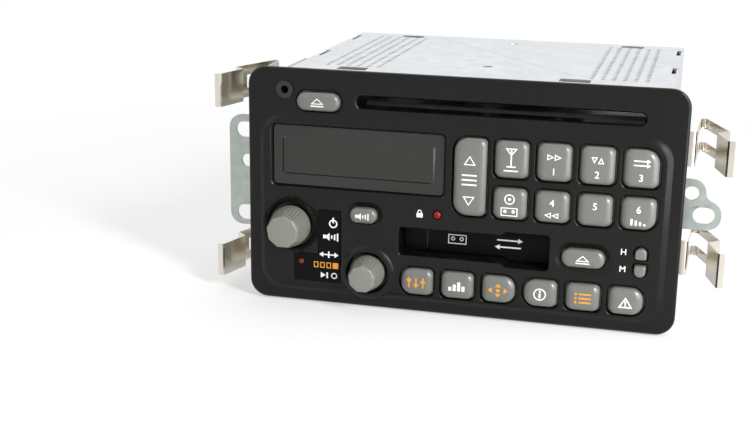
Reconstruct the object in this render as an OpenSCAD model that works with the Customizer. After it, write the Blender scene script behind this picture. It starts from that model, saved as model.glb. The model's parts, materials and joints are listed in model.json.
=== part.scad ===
// Car radio with disc slot, cassette bay, knobs and keys, on a sheet-metal chassis with ears and spring clips.
// Millimetres. +X is right, +Y is to the back, +Z is up. The origin is the middle of the chassis floor.

/* [Face] */
// Width of the front bezel
face_w = 194; // [188:0.5:206]
// Height of the front bezel
face_h = 108.4; // [107:0.2:112]
// Corner radius of the bezel
face_r = 8.5; // [6:0.5:11]
// Thickness of the bezel's walls
face_wall = 2.6; // [2.4:0.1:3]
// Rounding of the bezel's front edge
face_edge = 2; // [1:0.25:2.5]
// Depth of the bezel from front to back
bezel_d = 11; // [10.5:0.25:13]
// Lean of the bezel's top and sides towards the back
bezel_lean = 3; // [2:0.25:3.5]
// Height of the raised control field above the rim
pad_rise = 1.4; // [1:0.1:1.8]
// Width of the slope round the control field
pad_slope = 2.6; // [1.5:0.1:4]

/* [Chassis] */
// Width of the chassis
chassis_w = 177; // [172:0.5:180]
// Height of the chassis
chassis_h = 103.2; // [101:0.2:106]
// Depth of the chassis behind the bezel
chassis_d = 155; // [150:1:175]
// Thickness of the chassis sheet
sheet = 1; // [0.8:0.1:1.2]
// Diameter of one vent hole in the top cover
vent_d = 2.2; // [1.4:0.1:2.8]
// Vent holes in one row
vent_count = 25; // [10:1:26]

/* [Keys] */
// Width of a square key
key_w = 14.4; // [12:0.2:15]
// Spacing of the key columns beside the display
key_pitch = 18.35; // [18:0.05:18.6]
// Height of the upper keys beside the display
upper_key_h = 16.2; // [14:0.2:16.6]
// Height of the lower keys beside the display
lower_key_h = 13.6; // [12:0.2:14]
// Height of the keys along the bottom
bottom_key_h = 11.9; // [10:0.1:12.5]
// Spacing of the keys along the bottom
bottom_pitch = 18.55; // [18:0.05:18.8]
// How far a key stands out of the control field
key_rise = 2.2; // [1.4:0.1:3]
// Rounding of a key's front edge
key_edge = 1.3; // [0.6:0.1:1.6]
// Gap round a key in its hole
key_gap = 0.8; // [0.5:0.05:0.9]
// Travel of a key
key_travel = 0.8; // [0.4:0.1:0.9]

/* [Knobs] */
// Radius of the volume knob at its foot
volume_r = 9.3; // [8:0.1:10]
// Radius of the volume knob at its tip
volume_tip_r = 7.3; // [6:0.1:8]
// Radius of the tune knob at its foot
tune_r = 8; // [7:0.1:8.4]
// Radius of the tune knob at its tip
tune_tip_r = 6.1; // [5:0.1:7]
// How far the knobs stand out of the control field
knob_rise = 11.6; // [9:0.2:14]
// Flats round a knob
knob_sides = 9; // [7:1:10]
// Radius of a knob's shaft
shaft_r = 3; // [2.5:0.1:3.2]
// Push travel of a knob
knob_travel = 0.8; // [0.4:0.1:0.9]

/* [Disc player] */
// Diameter of the disc that it plays
disc_d = 120; // [118:1:122]
// Clear height of the disc slot
disc_slot_h = 5; // [4.8:0.1:5.4]
// Height of the slot's mouth at the middle
disc_mouth_h = 7.5; // [6:0.1:8]

/* [Cassette player] */
// Width of the cassette opening
tape_w = 67.1; // [66:0.1:68]
// Height of the cassette opening at its left
tape_h = 12.7; // [12.4:0.1:13]
// Extra height above and below at its right
tape_step = 1.6; // [1.2:0.1:1.8]
// Width of the taller right part
tape_step_w = 19.4; // [15:0.2:24]
// Thickness of the cassette flap
door_t = 1.6; // [1.2:0.1:2]

/* [Ears and clips] */
// Thickness of the ears
ear_t = 1.2; // [1:0.1:1.6]
// Reach of the ears from the middle of the radio
ear_reach = 112.9; // [110:0.2:116]
// Radius of the round ear holes
ear_hole_r = 3.1; // [2.6:0.1:3.4]
// Height of a spring clip
clip_h = 15.4; // [12:0.2:16]
// Thickness of a spring clip
clip_t = 0.5; // [0.4:0.05:0.8]

/* [Hidden] */
$fn = 48;
eps = 0.01;
// How far a cut runs past the surface it opens on
over = 0.2;
corner_steps = 5;

// Clearance of a piece that sits in another
seat = 0.2;
// Clearance of a piece that moves past another
free = 0.4;
// Radial clearance of a shaft in its bearing
shaft_free = 0.05;

// Frame: depth is measured back from the rim of the bezel, height from the middle of the face
face_y = -chassis_d / 2 - bezel_d;
// How far the middle of the face lies above the middle of the chassis
face_lift = 2.8;
face_z = chassis_h / 2 + face_lift;
chassis_back = bezel_d + chassis_d;
chassis_top = chassis_h - face_z;
chassis_floor = -face_z;
wall_in = chassis_w / 2 - sheet;

// Control field
pad_margin = 5.5;
pad_w = face_w - 2 * pad_margin;
pad_top = 33.5;
pad_bottom = -49.2;
pad_h = pad_top - pad_bottom;
pad_mid = (pad_top + pad_bottom) / 2;
pad_r = 10;

// Keys
flange_t = 1.2;
flange_lip = 0.6;
flange_gap = 0.3;
flange_front = face_wall + flange_gap;
flange_back = flange_front + flange_t;
board_gap = 3.9;
board_front = flange_back + board_gap;
board_t = 1.5;
plate_t = bezel_d - board_front - board_t - 0.3;
switch_w = 6;
switch_front = flange_back + key_travel + free;
stem_w = 2.4;
stem_tip = switch_front + 0.5;
switch_rim = 0.6;
key_r = 2.2;
grid_top_r = 6;
grid_low_r = 5;
row_r = 2;
row_end_r = 5;
oval_r = 3.9;
speed_r = 3.3;
clock_r = 2.3;
clock_inner_r = 0.5;
grid_x = 23.6;
grid_upper_z = 20;
grid_lower_z = 0.35;
bottom_x = -17;
bottom_z = -39.15;
seek_w = 14.2;
seek_h = 34.6;
seek_at = [5.6, 10.9];
seek_r = 2;
seek_end_r = 6;
seek_tab_h = 6;
seek_stem_in = 5;
eject_at = [-63.7, 39.8];
eject_w = 19.5;
oval_h = 8;
tape_eject_at = [56.4, -21.6];
tape_eject_w = 18.5;
speed_at = [-42.3, -10.5];
speed_w = 12.3;
speed_h = 6.8;
clock_w = 4.8;
hour_at = [80.8, -17.2];
minute_at = [80.8, -24.95];
key_dish_w = 3;
key_dish_d = 1;
seek_pivot = flange_front + flange_t / 2;
pivot_r = 0.5;
pivot_reach = 0.6;
eject_level = pad_rise - 0.6;

// Knobs
volume_at = [-77, -18.3];
tune_at = [-40, -37];
well_gap = 1.5;
well_floor = 1.6;
dish_w = 2.9;
dish_d = 1.5;
collar_w = 2.8;
collar_rise = 1.1;
knob_foot = well_floor - knob_travel - free;
rotor_r = 4.4;
rotor_t = 1.6;
cup_w = 12;
cup_front = flange_back + 0.3;
cup_floor = 1;
rotor_front = cup_front + 0.3;
shaft_tip = board_front - cup_floor - knob_travel - free;
knob_roof = 3;
knob_foot_h = 2;
knob_chamfer = 0.6;
rotor_free = 0.06;

// Display, legend panel and lamps
lens_at = [-45.75, 14.6];
lens_w = 78.5;
lens_h = 27.2;
lens_set = 0.6;
lens_flange = 1.4;
lens_r = 2;
lens_flare = 1.4;
lens_gap = 0.3;
lens_sink = 0.3;
lens_border = [4.1, 4.8];
lamp_drop = 0.2;
legend_t = 0.5;
legend_low = [-74.8, -43.5];
legend_high = [-53, -9.5];
legend_step = [-63.4, -30.5];
red_at = [-8.6, -7.6];
red_r = 1.8;
amber_at = [-71.6, -34.6];
amber_r = 1.4;

// Auxiliary jack for a 3.5 mm plug
jack_at = [-79.5, 44.4];
jack_r = 1.8;
jack_barrel_r = 3;
jack_ring_r = 3.9;
jack_body_w = 8.4;
jack_body_h = 6.2;
jack_body_d = 13;
jack_depth = 14;
jack_ring_h = 0.8;

// Disc player
slot_at = [16.3, 40.45];
disc_slot_w = disc_d + 5.2;
slot_end_h = 5.6;
tunnel_t = 1.2;
disc_centre = bezel_d + 17 + disc_d / 2;
deck_t = 1.2;
deck_z = 29.4;
rail_x = disc_d / 2 + 6;
rail_top = 46.6;
roller_r = 3.2;
roller_neck_r = 2.4;
roller_depth = bezel_d + 10;
roller_z = slot_at[1] - disc_slot_h / 2 - roller_r;
spindle_r = 1.25;
table_r = 14;
table_top = slot_at[1] - disc_slot_h / 2;
sled_travel = 35;
sled_w = 26;
sled_l = 14;
sled_gap = 25;
sled_rest = disc_centre + sled_gap;
rod_r = 1.5;
rod_x = 9;
screw_r = 1.6;
screw_x = 20;
rod_z = 3.6;
rod_in = 1;
journal = 1.5;
deck_front = bezel_d + 4;
deck_back = chassis_back - sheet - 4;
bridge = disc_centre + 15;
bridge_in = 4;
rear_bridge = deck_back - bridge_in;
bridge_t = 2.6;
bridge_h = 5;
bridge_over = 4;
rail_t = 1.2;
table_hole = 17;
sled_bay_w = 40;
sled_bay_left = 15;
sled_bay_rim = 3;
table_t = 2;
table_drop = 3.6;
cone_r = [7.4, 5.8];
cone_h = 1.4;
cone_drop = 1.7;
spindle_drop = 4;
motor_r = 12;
motor_h = 8;
motor_drop = 6;
motor_plate = [32, 24, 1.2];
motor_bar = [40, 12, 1.2];
sled_t = 5;
sled_drop = 2.4;
eye_r = 3.4;
eye_h = 1;
eye_front = 3;
finger = [6, 2.4];
roller_short = 3;

// Cassette player
tape_at = [7.85, -20.95];
tape_corner = 1.6;
tape_chamfer = 0.8;
tape_tunnel_t = 1.4;
tape_tunnel_d = bezel_d + 1.6;
door_gap = 0.5;
door_front = 8.6;
door_axis_drop = 1.5;
door_pin_r = 1;
door_mid = door_front + door_t / 2;
door_swing_h = 3;
tape_space_gap = [0.6, 1];
door_axis_z = tape_at[1] + tape_h / 2 - door_gap - door_axis_drop;
bay_depth = 102;
tape_deck_z = -40.2;
hub_gap = 42.5;
hub_x = tape_at[0] - 2;
hub_in = 39;
hub_depth = bezel_d + hub_in;
hub_r = 4.6;
hub_tip = tape_at[1] - tape_h / 2 - 1;
capstan_r = 1;
capstan_out = 23;
capstan_x = tape_at[0] + capstan_out;
flywheel_r = 16;
flywheel_t = 3;
tape_deck_back = deck_front + bay_depth + 16;
guide_gap = 0.6;
guide_t = 1.2;
guide_front = 14;
guide_over = 3;
hub_flange = 4;
hub_base_t = 2;
hub_taper = 1.2;
hub_tooth = [2, 1];
hub_tooth_in = 1.4;
pin_reach = 1;

// Ears, clips and their screws
ear_front = 18;
ear_hole_z = 6.2;
ear_slot = [9.3, 7.4];
ear_slot_r = 3.6;
left_ear_h = 53;
left_ear_mid = 1.5;
left_ear_r = 6;
left_hole_in = 9;
left_slot_in = 8.1;
left_slot_z = [21, -19];
left_plate_h = 98;
right_ear_w = 15.5;
right_ear_h = 22.5;
right_ear_mid = 1.25;
right_hole_out = 11.2;
right_lobe_h = 13;
right_lobe_r = 6.2;
right_slot_in = 7.5;
right_slot_z = -3.5;
right_plate_h = 66;
bracket_back = 62;
clip_foot = 23;
clip_flange_reach = chassis_w / 2 + 9.9;
clip_root = 1.7;
clip_knee = [10.1, 1.2];
clip_knee_r = 1.2;
clip_bend = [13.9, 31];
clip_bend_r = 1.6;
clip_leaf = [[24.8, 6.2], [20, 1.4], [24.4, -14.4], [25.1, -15.1], [27.3, -15.2]];
clip_window = [20, 30, 6.2];
clip_window_at = [7.5, 36];
right_clip_z = [24.5, -24.8];
left_clip_z = [40.6, -40.5];
screw_head_r = 3.6;
screw_shank_r = 1.9;
screw_depth = 45;
screw_z = 15;
screw_head_h = 2.6;
screw_reach = 3;

// Snap arms of the bezel and slots in the covers
arm_x = [-59.5, 44.5];
arm_w = 11;
arm_t = 1.6;
arm_slot_w = 14;
arm_slot_d = [36, 44];
arm_top_in = 0.6;
arm_low_in = 2;
arm_top_hook = 1.2;
arm_low_hook = 2.6;
arm_play = 0.6;
boss_r = 1.9;
boss_sink = 0.5;

// Back of the chassis
sink_w = 64;
sink_h = 74;
sink_d = 14;
sink_at = [-46, -2];
sink_fins = 9;
sink_fin_t = 2.2;
sink_base_t = 3.5;
socket_at = [32, -34];
socket_w = 46;
socket_h = 14;
socket_wall = 1.6;
socket_d = 14;
socket_out = 3;
pin_pitch = 3.2;
pin_row = 2.8;
pin_w = 0.8;
pin_in = 3;
socket_base = 2.6;
aerial_at = [66, 22];
aerial_r = 6;
aerial_bore_r = 4.7;
aerial_out = 8;
aerial_l = 24;
aerial_bore_d = 20;
aerial_flange_w = 2;
aerial_flange_t = 1.5;

// Colours
black = "#242425";
grey = "#8f8f8a";
zinc = "#ccd0d2";
plate_grey = "#a9b0aa";
steel = "#b9b6ac";
board_green = "#2f5a3a";

// Places a drawing on the face, seen from the front, at a depth behind the rim
module on_face(at, depth = 0) {
  translate([at[0], face_y + depth, face_z + at[1]])
    rotate([90, 0, 0])
      children();
}

// Places a drawing in plan, seen from above, with its second axis running back from the rim
module in_plan(z) {
  translate([0, face_y, face_z + z])
    children();
}

function arc(centre, r, a0, a1, steps = corner_steps) =
  [for (i = [0:steps]) let (a = a0 + (a1 - a0) * i / steps) centre + r * [cos(a), sin(a)]];

function circle_points(r, count) = [for (i = [0:count - 1]) r * [cos(360 * i / count), sin(360 * i / count)]];

// Corner radii run top left, top right, bottom right, bottom left
function corners(r) = is_list(r) ? r : [r, r, r, r];

function rounded(w, h, r, steps = corner_steps) =
  let (c = corners(r))
  concat(
    arc([w / 2 - c[2], -h / 2 + c[2]], c[2], -90, 0, steps),
    arc([w / 2 - c[1], h / 2 - c[1]], c[1], 0, 90, steps),
    arc([-w / 2 + c[0], h / 2 - c[0]], c[0], 90, 180, steps),
    arc([-w / 2 + c[3], -h / 2 + c[3]], c[3], 180, 270, steps)
  );

function grown(r, by) = [for (c = corners(r)) max(c + by, 0.3)];

function rounded_by(w, h, r, by) = rounded(w + 2 * by, h + 2 * by, grown(r, by));

function level(points, z, shift = [0, 0]) = [for (p = points) [p[0] + shift[0], p[1] + shift[1], z]];

// Solid through rings of equal length, from the lowest ring up
module loft(rings) {
  count = len(rings[0]);
  last = len(rings) - 1;
  sides = [
    for (i = [0:last - 1], j = [0:count - 1], half = [0, 1])
      let (k = (j + 1) % count, a = i * count + j, b = i * count + k)
        half == 0 ? [a, a + count, b + count] : [a, b + count, b]
  ];
  foot = [for (j = [0:count - 1]) j];
  head = [for (j = [0:count - 1]) last * count + count - 1 - j];
  polyhedron([for (r = rings) each r], concat(sides, [foot, head]), convexity = 6);
}

module plate(points, t) {
  linear_extrude(t, convexity = 6)
    polygon(points);
}

function unit(v) = v / norm(v);

function strip_edge(path, offset) = [
  for (i = [0:len(path) - 1])
    let (
      last = len(path) - 1,
      before = unit(path[max(i, 1)] - path[max(i, 1) - 1]),
      after = unit(path[min(i, last - 1) + 1] - path[min(i, last - 1)]),
      n = unit([-before[1] - after[1], before[0] + after[0]]),
      stretch = n * [-before[1], before[0]]
    )
    path[i] + offset / stretch * n
];

function reversed(list) = [for (i = [len(list) - 1:-1:0]) list[i]];

// Outline of a bent strip of sheet along a path
function strip(path, t) = concat(strip_edge(path, -t / 2), reversed(strip_edge(path, t / 2)));

// Closed hoop through rings of equal length, one ring for each point of its section
module hoop(rings) {
  count = len(rings[0]);
  total = len(rings) * count;
  sides = [
    for (i = [0:len(rings) - 1], j = [0:count - 1], half = [0, 1])
      let (
        k = (j + 1) % count,
        a = i * count + j,
        b = i * count + k,
        c = (a + count) % total,
        d = (b + count) % total
      )
        half == 0 ? [a, c, d] : [a, d, b]
  ];
  polyhedron([for (r = rings) each r], sides, convexity = 6);
}

// Bezel

function bezel_ring(inset, depth, lean = 0) =
  level(
    rounded(face_w - 2 * inset - 2 * lean, face_h - 2 * inset - lean, max(face_r - inset, 1), 6),
    -depth, [0, -lean / 2]
  );

function flat(ring) = [for (p = ring) [p[0], p[1]]];

// Leaning side walls with a rounded front edge
module bezel_rim() {
  on_face([0, 0])
    hoop(concat(
      [bezel_ring(0, bezel_d, bezel_lean)],
      [for (a = [0:30:90]) bezel_ring(face_edge * (1 - cos(a)), face_edge * (1 - sin(a)))],
      [bezel_ring(face_wall, 0), bezel_ring(face_wall, face_wall), bezel_ring(face_wall, bezel_d, bezel_lean)]
    ));
}

module face_holes() {
  for (key = PUSH_KEYS)
    translate(key[0])
      polygon(rounded_by(key[1], key[2], key[3], key[4]));
  translate(seek_at)
    polygon(rounded_by(seek_w, seek_h, SEEK_CORNERS, key_gap));
  translate(slot_at)
    polygon(throat_outline());
  translate(tape_at)
    polygon(tape_outline(0));
  translate(lens_at)
    polygon(rounded_by(lens_w, lens_h, lens_r, seat));
  for (at = [volume_at, tune_at])
    translate(at)
      circle(r = shaft_r + free);
  translate(red_at)
    circle(r = red_r + seat);
  translate(amber_at)
    circle(r = amber_r + seat);
  translate(jack_at)
    circle(r = jack_barrel_r + seat);
}

module front_wall() {
  on_face([0, 0], face_wall)
    linear_extrude(face_wall, convexity = 10)
      difference() {
        polygon(flat(bezel_ring(face_wall - over, 0)));
        face_holes();
      }
}

function pad_ring(by, z) = level(rounded_by(pad_w, pad_h, pad_r, -by), z, [0, pad_mid]);

// Raised field that holds the controls, with a bowed slope round it
module control_field() {
  on_face([0, 0]) {
    linear_extrude(pad_rise, convexity = 10)
      difference() {
        polygon(flat(pad_ring(pad_slope, 0)));
        face_holes();
      }
    hoop([
      pad_ring(0, 0),
      pad_ring(pad_slope * 0.35, pad_rise * 0.7),
      pad_ring(pad_slope, pad_rise),
      pad_ring(pad_slope, 0)
    ]);
  }
}

// Barrel outline of the disc slot: round ends and gently bowed long sides
function slot_outline(w, mid_h, end_h, steps = 8) =
  let (r = end_h / 2, reach = w / 2 - r, bow = (mid_h - end_h) / 2)
  concat(
    arc([reach, 0], r, -90, 90, 6),
    [for (i = [1:steps - 1]) let (x = reach * (1 - 2 * i / steps)) [x, r + bow * (1 - pow(x / reach, 2))]],
    arc([-reach, 0], r, 90, 270, 6),
    [for (i = [1:steps - 1]) let (x = reach * (2 * i / steps - 1)) [x, -r - bow * (1 - pow(x / reach, 2))]]
  );

function throat_outline() = slot_outline(disc_slot_w, disc_slot_h + 0.4, disc_slot_h);

// Stepped outline of the cassette opening, shrunk by an inset
function tape_outline(inset) =
  let (
    w = tape_w / 2 - inset,
    low = tape_h / 2 - inset,
    tall = tape_h / 2 + tape_step - inset,
    step_x = tape_w / 2 - tape_step_w + 0.41 * inset,
    c = tape_corner
  )
  [
    [-w + c, -low], [step_x - tape_step, -low], [step_x, -tall], [w - c, -tall], [w, -tall + c],
    [w, tall - c], [w - c, tall], [step_x, tall], [step_x - tape_step, low],
    [-w + c, low], [-w, low - c], [-w, -low + c]
  ];

// Every push key: place, width, height, corner radii and gap
function grid_at(column, z) = [grid_x + column * key_pitch, z];
function bottom_at(i) = [bottom_x + i * bottom_pitch, bottom_z];
function bottom_corners(i) =
  i % 3 == 0 ? [row_end_r, row_r, row_r, row_end_r] :
  i % 3 == 2 ? [row_r, row_end_r, row_end_r, row_r] :
  corners(row_r);
small_gap = key_gap / 2;
oval_gap = key_gap * 0.75;

EJECT = [eject_at, eject_w, oval_h, oval_r, oval_gap];
BAND = [grid_at(0, grid_upper_z), key_w, upper_key_h, key_r, key_gap];
SOURCE = [grid_at(0, grid_lower_z), key_w, lower_key_h, key_r, key_gap];
PRESETS = [
  [grid_at(1, grid_upper_z), key_w, upper_key_h, key_r, key_gap],
  [grid_at(2, grid_upper_z), key_w, upper_key_h, key_r, key_gap],
  [grid_at(3, grid_upper_z), key_w, upper_key_h, [key_r, grid_top_r, key_r, key_r], key_gap],
  [grid_at(1, grid_lower_z), key_w, lower_key_h, key_r, key_gap],
  [grid_at(2, grid_lower_z), key_w, lower_key_h, key_r, key_gap],
  [grid_at(3, grid_lower_z), key_w, lower_key_h, [key_r, key_r, grid_low_r, key_r], key_gap]
];
BOTTOM = [for (i = [0:5]) [bottom_at(i), key_w, bottom_key_h, bottom_corners(i), key_gap]];
OVAL = [speed_at, speed_w, speed_h, speed_r, oval_gap];
TAPE_EJECT = [tape_eject_at, tape_eject_w, oval_h, oval_r, oval_gap];
HOUR = [hour_at, clock_w, clock_w, [clock_r, clock_r, clock_inner_r, clock_inner_r], small_gap];
MINUTE = [minute_at, clock_w, clock_w, [clock_inner_r, clock_inner_r, clock_r, clock_r], small_gap];
PUSH_KEYS = concat([EJECT, BAND, SOURCE, OVAL, TAPE_EJECT, HOUR, MINUTE], PRESETS, BOTTOM);
DISHED = [OVAL, TAPE_EJECT];
SEEK_CORNERS = [seek_end_r, seek_r, seek_r, seek_end_r];

// Sloped finger recess round an oval key
module key_dish(key) {
  on_face(key[0])
    loft([
      level(rounded_by(key[1], key[2], key[3], key[4] - over), pad_rise - key_dish_d - over),
      level(rounded_by(key[1], key[2], key[3], key_dish_w + over), pad_rise + over)
    ]);
}

module knob_well(at, r, dish) {
  hole_r = r + well_gap;
  slope = dish_w / dish_d;
  on_face(at, well_floor)
    cylinder(h = well_floor + pad_rise + collar_rise + 1, r = hole_r);
  if (dish)
    on_face(at)
      translate([0, 0, pad_rise - dish_d - over])
        cylinder(h = dish_d + 2 * over, r1 = hole_r - over * slope, r2 = hole_r + dish_w + over * slope);
}

// Mouth of the disc slot, narrowing to the throat
module disc_mouth() {
  on_face(slot_at)
    loft([
      level(slot_outline(disc_slot_w - over, disc_slot_h, disc_slot_h - over), over - face_wall),
      level(slot_outline(disc_slot_w + 0.6, disc_mouth_h + over / 2, slot_end_h + over / 2), over)
    ]);
}

// Walls that guide a disc or a cassette on from the face
module tunnel(at, back) {
  on_face(at, back)
    linear_extrude(back - face_wall + eps, convexity = 6)
      difference() {
        children(0);
        children(1);
      }
}

module snap_arm(x, up) {
  tip = up ? chassis_top - sheet - arm_top_in : chassis_floor + sheet + arm_low_in;
  bottom = up ? tip - arm_t : tip;
  hook = up ? arm_top_hook : arm_low_hook;
  translate([x - arm_w / 2, face_y + face_wall - 0.5, face_z + bottom])
    cube([arm_w, arm_slot_d[1] - face_wall, arm_t]);
  translate([x - arm_w / 2, face_y, face_z + (up ? tip : bottom)])
    rotate([90, 0, 90])
      linear_extrude(arm_w)
        polygon([
          [arm_slot_d[0] + arm_play, 0], [arm_slot_d[0] + arm_play, up ? hook : -hook],
          [arm_slot_d[1] - 0.5, up ? -0.5 : 0.5], [arm_slot_d[0] + arm_play, up ? -0.5 : 0.5]
        ]);
}

BOSSES = [[-3, 32.9], [69.5, 32.9], [-86, -46], [-27.5, -47], [88, -46]];

module front_bezel() {
  collar_r = tune_r + well_gap + collar_w;
  color(black)
    difference() {
      union() {
        bezel_rim();
        front_wall();
        control_field();
        on_face(tune_at)
          translate([0, 0, pad_rise - eps])
            cylinder(h = collar_rise, r1 = collar_r, r2 = collar_r - collar_w / 2);
        for (b = BOSSES)
          on_face(b, board_front)
            cylinder(h = board_front - face_wall + boss_sink, r = boss_r);
        tunnel(slot_at, board_front + board_t) {
          polygon(rounded(disc_slot_w + 2 * tunnel_t, disc_slot_h + 2 * tunnel_t, 2));
          polygon(throat_outline());
        }
        tunnel(tape_at, tape_tunnel_d) {
          polygon(tape_outline(-tape_tunnel_t));
          polygon(tape_outline(0));
        }
        for (x = arm_x, up = [true, false])
          snap_arm(x, up);
      }
      for (key = DISHED)
        key_dish(key);
      knob_well(volume_at, volume_r, true);
      knob_well(tune_at, tune_r, false);
      disc_mouth();
      on_face(tape_at)
        hoop([
          level(tape_outline(over), pad_rise - tape_chamfer - over),
          level(tape_outline(-tape_chamfer - over), pad_rise + over),
          level(tape_outline(over), pad_rise + over)
        ]);
      translate([tape_at[0], face_y + door_mid, face_z + door_axis_z])
        rotate([0, 90, 0])
          cylinder(h = tape_w + 4, r = door_pin_r + seat, center = true);
      on_face(lens_at)
        loft([
          level(rounded_by(lens_w, lens_h, lens_r, seat - over), -lens_set - over),
          level(rounded_by(lens_w, lens_h, lens_r, lens_flare + over), pad_rise + over)
        ]);
      on_face([0, 0], -pad_rise + legend_t)
        plate(legend_outline(0), 2);
    }
}

// Stepped black panel beside the knobs
function legend_outline(inset) = [
  legend_low + [inset, inset], [legend_high[0] - inset, legend_low[1] + inset], legend_high - [inset, inset],
  [legend_step[0] + inset, legend_high[1] - inset], legend_step + [inset, -inset],
  [legend_low[0] + inset, legend_step[1] - inset]
];

module legend_panel() {
  color("#111112")
    difference() {
      on_face([0, 0], -pad_rise + legend_t)
        plate(legend_outline(0.1), legend_t);
      on_face(amber_at)
        cylinder(h = 4, r = amber_r + seat);
    }
}

module display_lens() {
  color("#3c3c3a")
    difference() {
      union() {
        on_face(lens_at, face_wall + lens_gap)
          plate(rounded(lens_w, lens_h, lens_r), face_wall + lens_gap - lens_set);
        on_face(lens_at, face_wall + lens_flange)
          plate(rounded(lens_w + 2 * lens_flange, lens_h + 2 * lens_flange, lens_r), lens_flange);
      }
      on_face(lens_at, lens_set + lens_sink)
        plate(rounded(lens_w - 2 * lens_border[0], lens_h - 2 * lens_border[1], 0.6), 2);
    }
}

module lamp(at, r) {
  on_face(at, board_front)
    cylinder(h = board_front + pad_rise - lamp_drop, r = r);
  on_face(at, -pad_rise + lamp_drop)
    intersection() {
      translate([0, 0, -0.6])
        sphere(r = r * 1.08);
      cylinder(h = r, r = r);
    }
}

module red_lamp() {
  color("#7d0c12") lamp(red_at, red_r);
}

module amber_lamp() {
  color("#6b2f14") lamp(amber_at, amber_r);
}

module aux_jack() {
  color("#18181a")
    on_face(jack_at)
      difference() {
        union() {
          translate([0, 0, -face_wall - eps])
            cylinder(h = face_wall + 0.2, r = jack_barrel_r);
          cylinder(h = jack_ring_h, r = jack_ring_r);
          translate([-jack_body_w / 2, -jack_body_h / 2, -face_wall - jack_body_d])
            cube([jack_body_w, jack_body_h, jack_body_d]);
        }
        translate([0, 0, jack_ring_h - jack_depth])
          cylinder(h = jack_depth + 1, r = jack_r);
      }
}

// Key board and what stands on it

module display_panel() {
  color("#20302e")
    on_face(lens_at, board_front)
      plate(rounded(lens_w - 3, lens_h - 3, 1), board_front - face_wall - lens_flange - lens_gap);
}

board_side = face_w / 2 - bezel_lean - face_wall - 0.6;
board_low = chassis_floor + sheet + arm_low_in + arm_t + arm_play;
board_high = slot_at[1] - disc_slot_h / 2 - tunnel_t - 0.6;
board_eject_high = 45;
board_eject_right = slot_at[0] - disc_slot_w / 2 - tunnel_t - 1;

// Clear space for the cassette tunnel and the swing of its flap
module tape_space(depth, t) {
  w = tape_w + 2 * tape_tunnel_t + 2 * tape_space_gap[0];
  h = tape_h + 2 * tape_step + 2 * tape_tunnel_t + 2 * tape_space_gap[1];
  on_face([tape_at[0], tape_at[1] + door_swing_h / 2], depth)
    translate([0, 0, t / 2])
      cube([w, h + door_swing_h, t + 2], center = true);
}

module jack_space(depth, t) {
  on_face(jack_at, depth)
    translate([0, 0, t / 2])
      cube([jack_body_w + 1, jack_body_h + 1, t + 2], center = true);
}

module front_board() {
  color(board_green)
    difference() {
      on_face([0, 0], board_front + board_t)
        plate([
          [-board_side, board_low], [board_side, board_low], [board_side, board_high],
          [board_eject_right, board_high], [board_eject_right, board_eject_high], [-board_side, board_eject_high]
        ], board_t);
      tape_space(board_front + board_t, board_t);
      jack_space(board_front + board_t, board_t);
    }
}

module key_switch(at) {
  on_face(at, board_front)
    difference() {
      translate([-switch_w / 2, -switch_w / 2, 0])
        cube([switch_w, switch_w, board_front - switch_front]);
      translate([-stem_w / 2 - free, -stem_w / 2 - free, switch_rim])
        cube([stem_w + 2 * free, stem_w + 2 * free, 8]);
    }
}

seek_stem = seek_h / 2 - seek_stem_in;

module key_switches() {
  color("#2a2a2c") {
    for (key = PUSH_KEYS)
      key_switch(key[0]);
    for (s = [-1, 1])
      key_switch(seek_at + [0, s * seek_stem]);
  }
}

module encoder_cup(at) {
  on_face(at, board_front)
    difference() {
      translate([-cup_w / 2, -cup_w / 2, 0])
        cube([cup_w, cup_w, board_front - cup_front]);
      translate([0, 0, cup_floor])
        cylinder(h = 10, r = rotor_r + free);
    }
}

module encoder_cups() {
  color("#55585a") {
    encoder_cup(volume_at);
    encoder_cup(tune_at);
  }
}

module encoder_rotor(at) {
  on_face(at, rotor_front + rotor_t)
    difference() {
      cylinder(h = rotor_t, r = rotor_r);
      translate([0, 0, -1])
        cylinder(h = rotor_t + 2, r = shaft_r + rotor_free);
    }
}

module volume_rotor() {
  color("#d8d2c0") encoder_rotor(volume_at);
}

module tune_rotor() {
  color("#d8d2c0") encoder_rotor(tune_at);
}

// Knobs

module knob_shaft(at) {
  color(steel)
    on_face(at, shaft_tip)
      cylinder(h = shaft_tip + pad_rise + knob_rise - knob_roof, r = shaft_r);
}

// Round foot that turns into flats towards the tip
function knob_ring(foot_r, tip_r, along, steps) =
  [
    for (i = [0:steps * knob_sides - 1])
      let (
        turn = 180 / knob_sides,
        a = 360 * i / (steps * knob_sides),
        off = a - 2 * turn * floor(a / (2 * turn)) - turn,
        flat = cos(turn) / cos(off),
        r = foot_r + (tip_r - foot_r) * along,
        shape = 1 + (flat - 1) * along
      )
      r * shape * [cos(a), sin(a)]
  ];

module knob(at, foot_r, tip_r) {
  long = knob_foot + pad_rise + knob_rise;
  color(grey)
    on_face(at, knob_foot)
      difference() {
        loft([
          level(knob_ring(foot_r, foot_r, 0, 4), 0),
          level(knob_ring(foot_r, foot_r, 0, 4), knob_foot_h),
          level(knob_ring(foot_r, tip_r, 0.4, 4), long * 0.45),
          level(knob_ring(foot_r, tip_r, 1, 4), long - knob_chamfer),
          level(knob_ring(foot_r, tip_r - knob_chamfer, 1, 4), long)
        ]);
        translate([0, 0, -over])
          cylinder(h = long - knob_roof + over, r = shaft_r + shaft_free);
      }
}

module volume_knob() {
  knob(volume_at, volume_r, volume_tip_r);
}

module volume_shaft() {
  knob_shaft(volume_at);
}

module tune_knob() {
  knob(tune_at, tune_r, tune_tip_r);
}

module tune_shaft() {
  knob_shaft(tune_at);
}

// Keys

function key_front(key, front) = [
  for (a = [0:30:90])
    level(rounded_by(key[1], key[2], key[3], -key_edge * (1 - cos(a))), front - key_edge * (1 - sin(a)))
];

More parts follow.
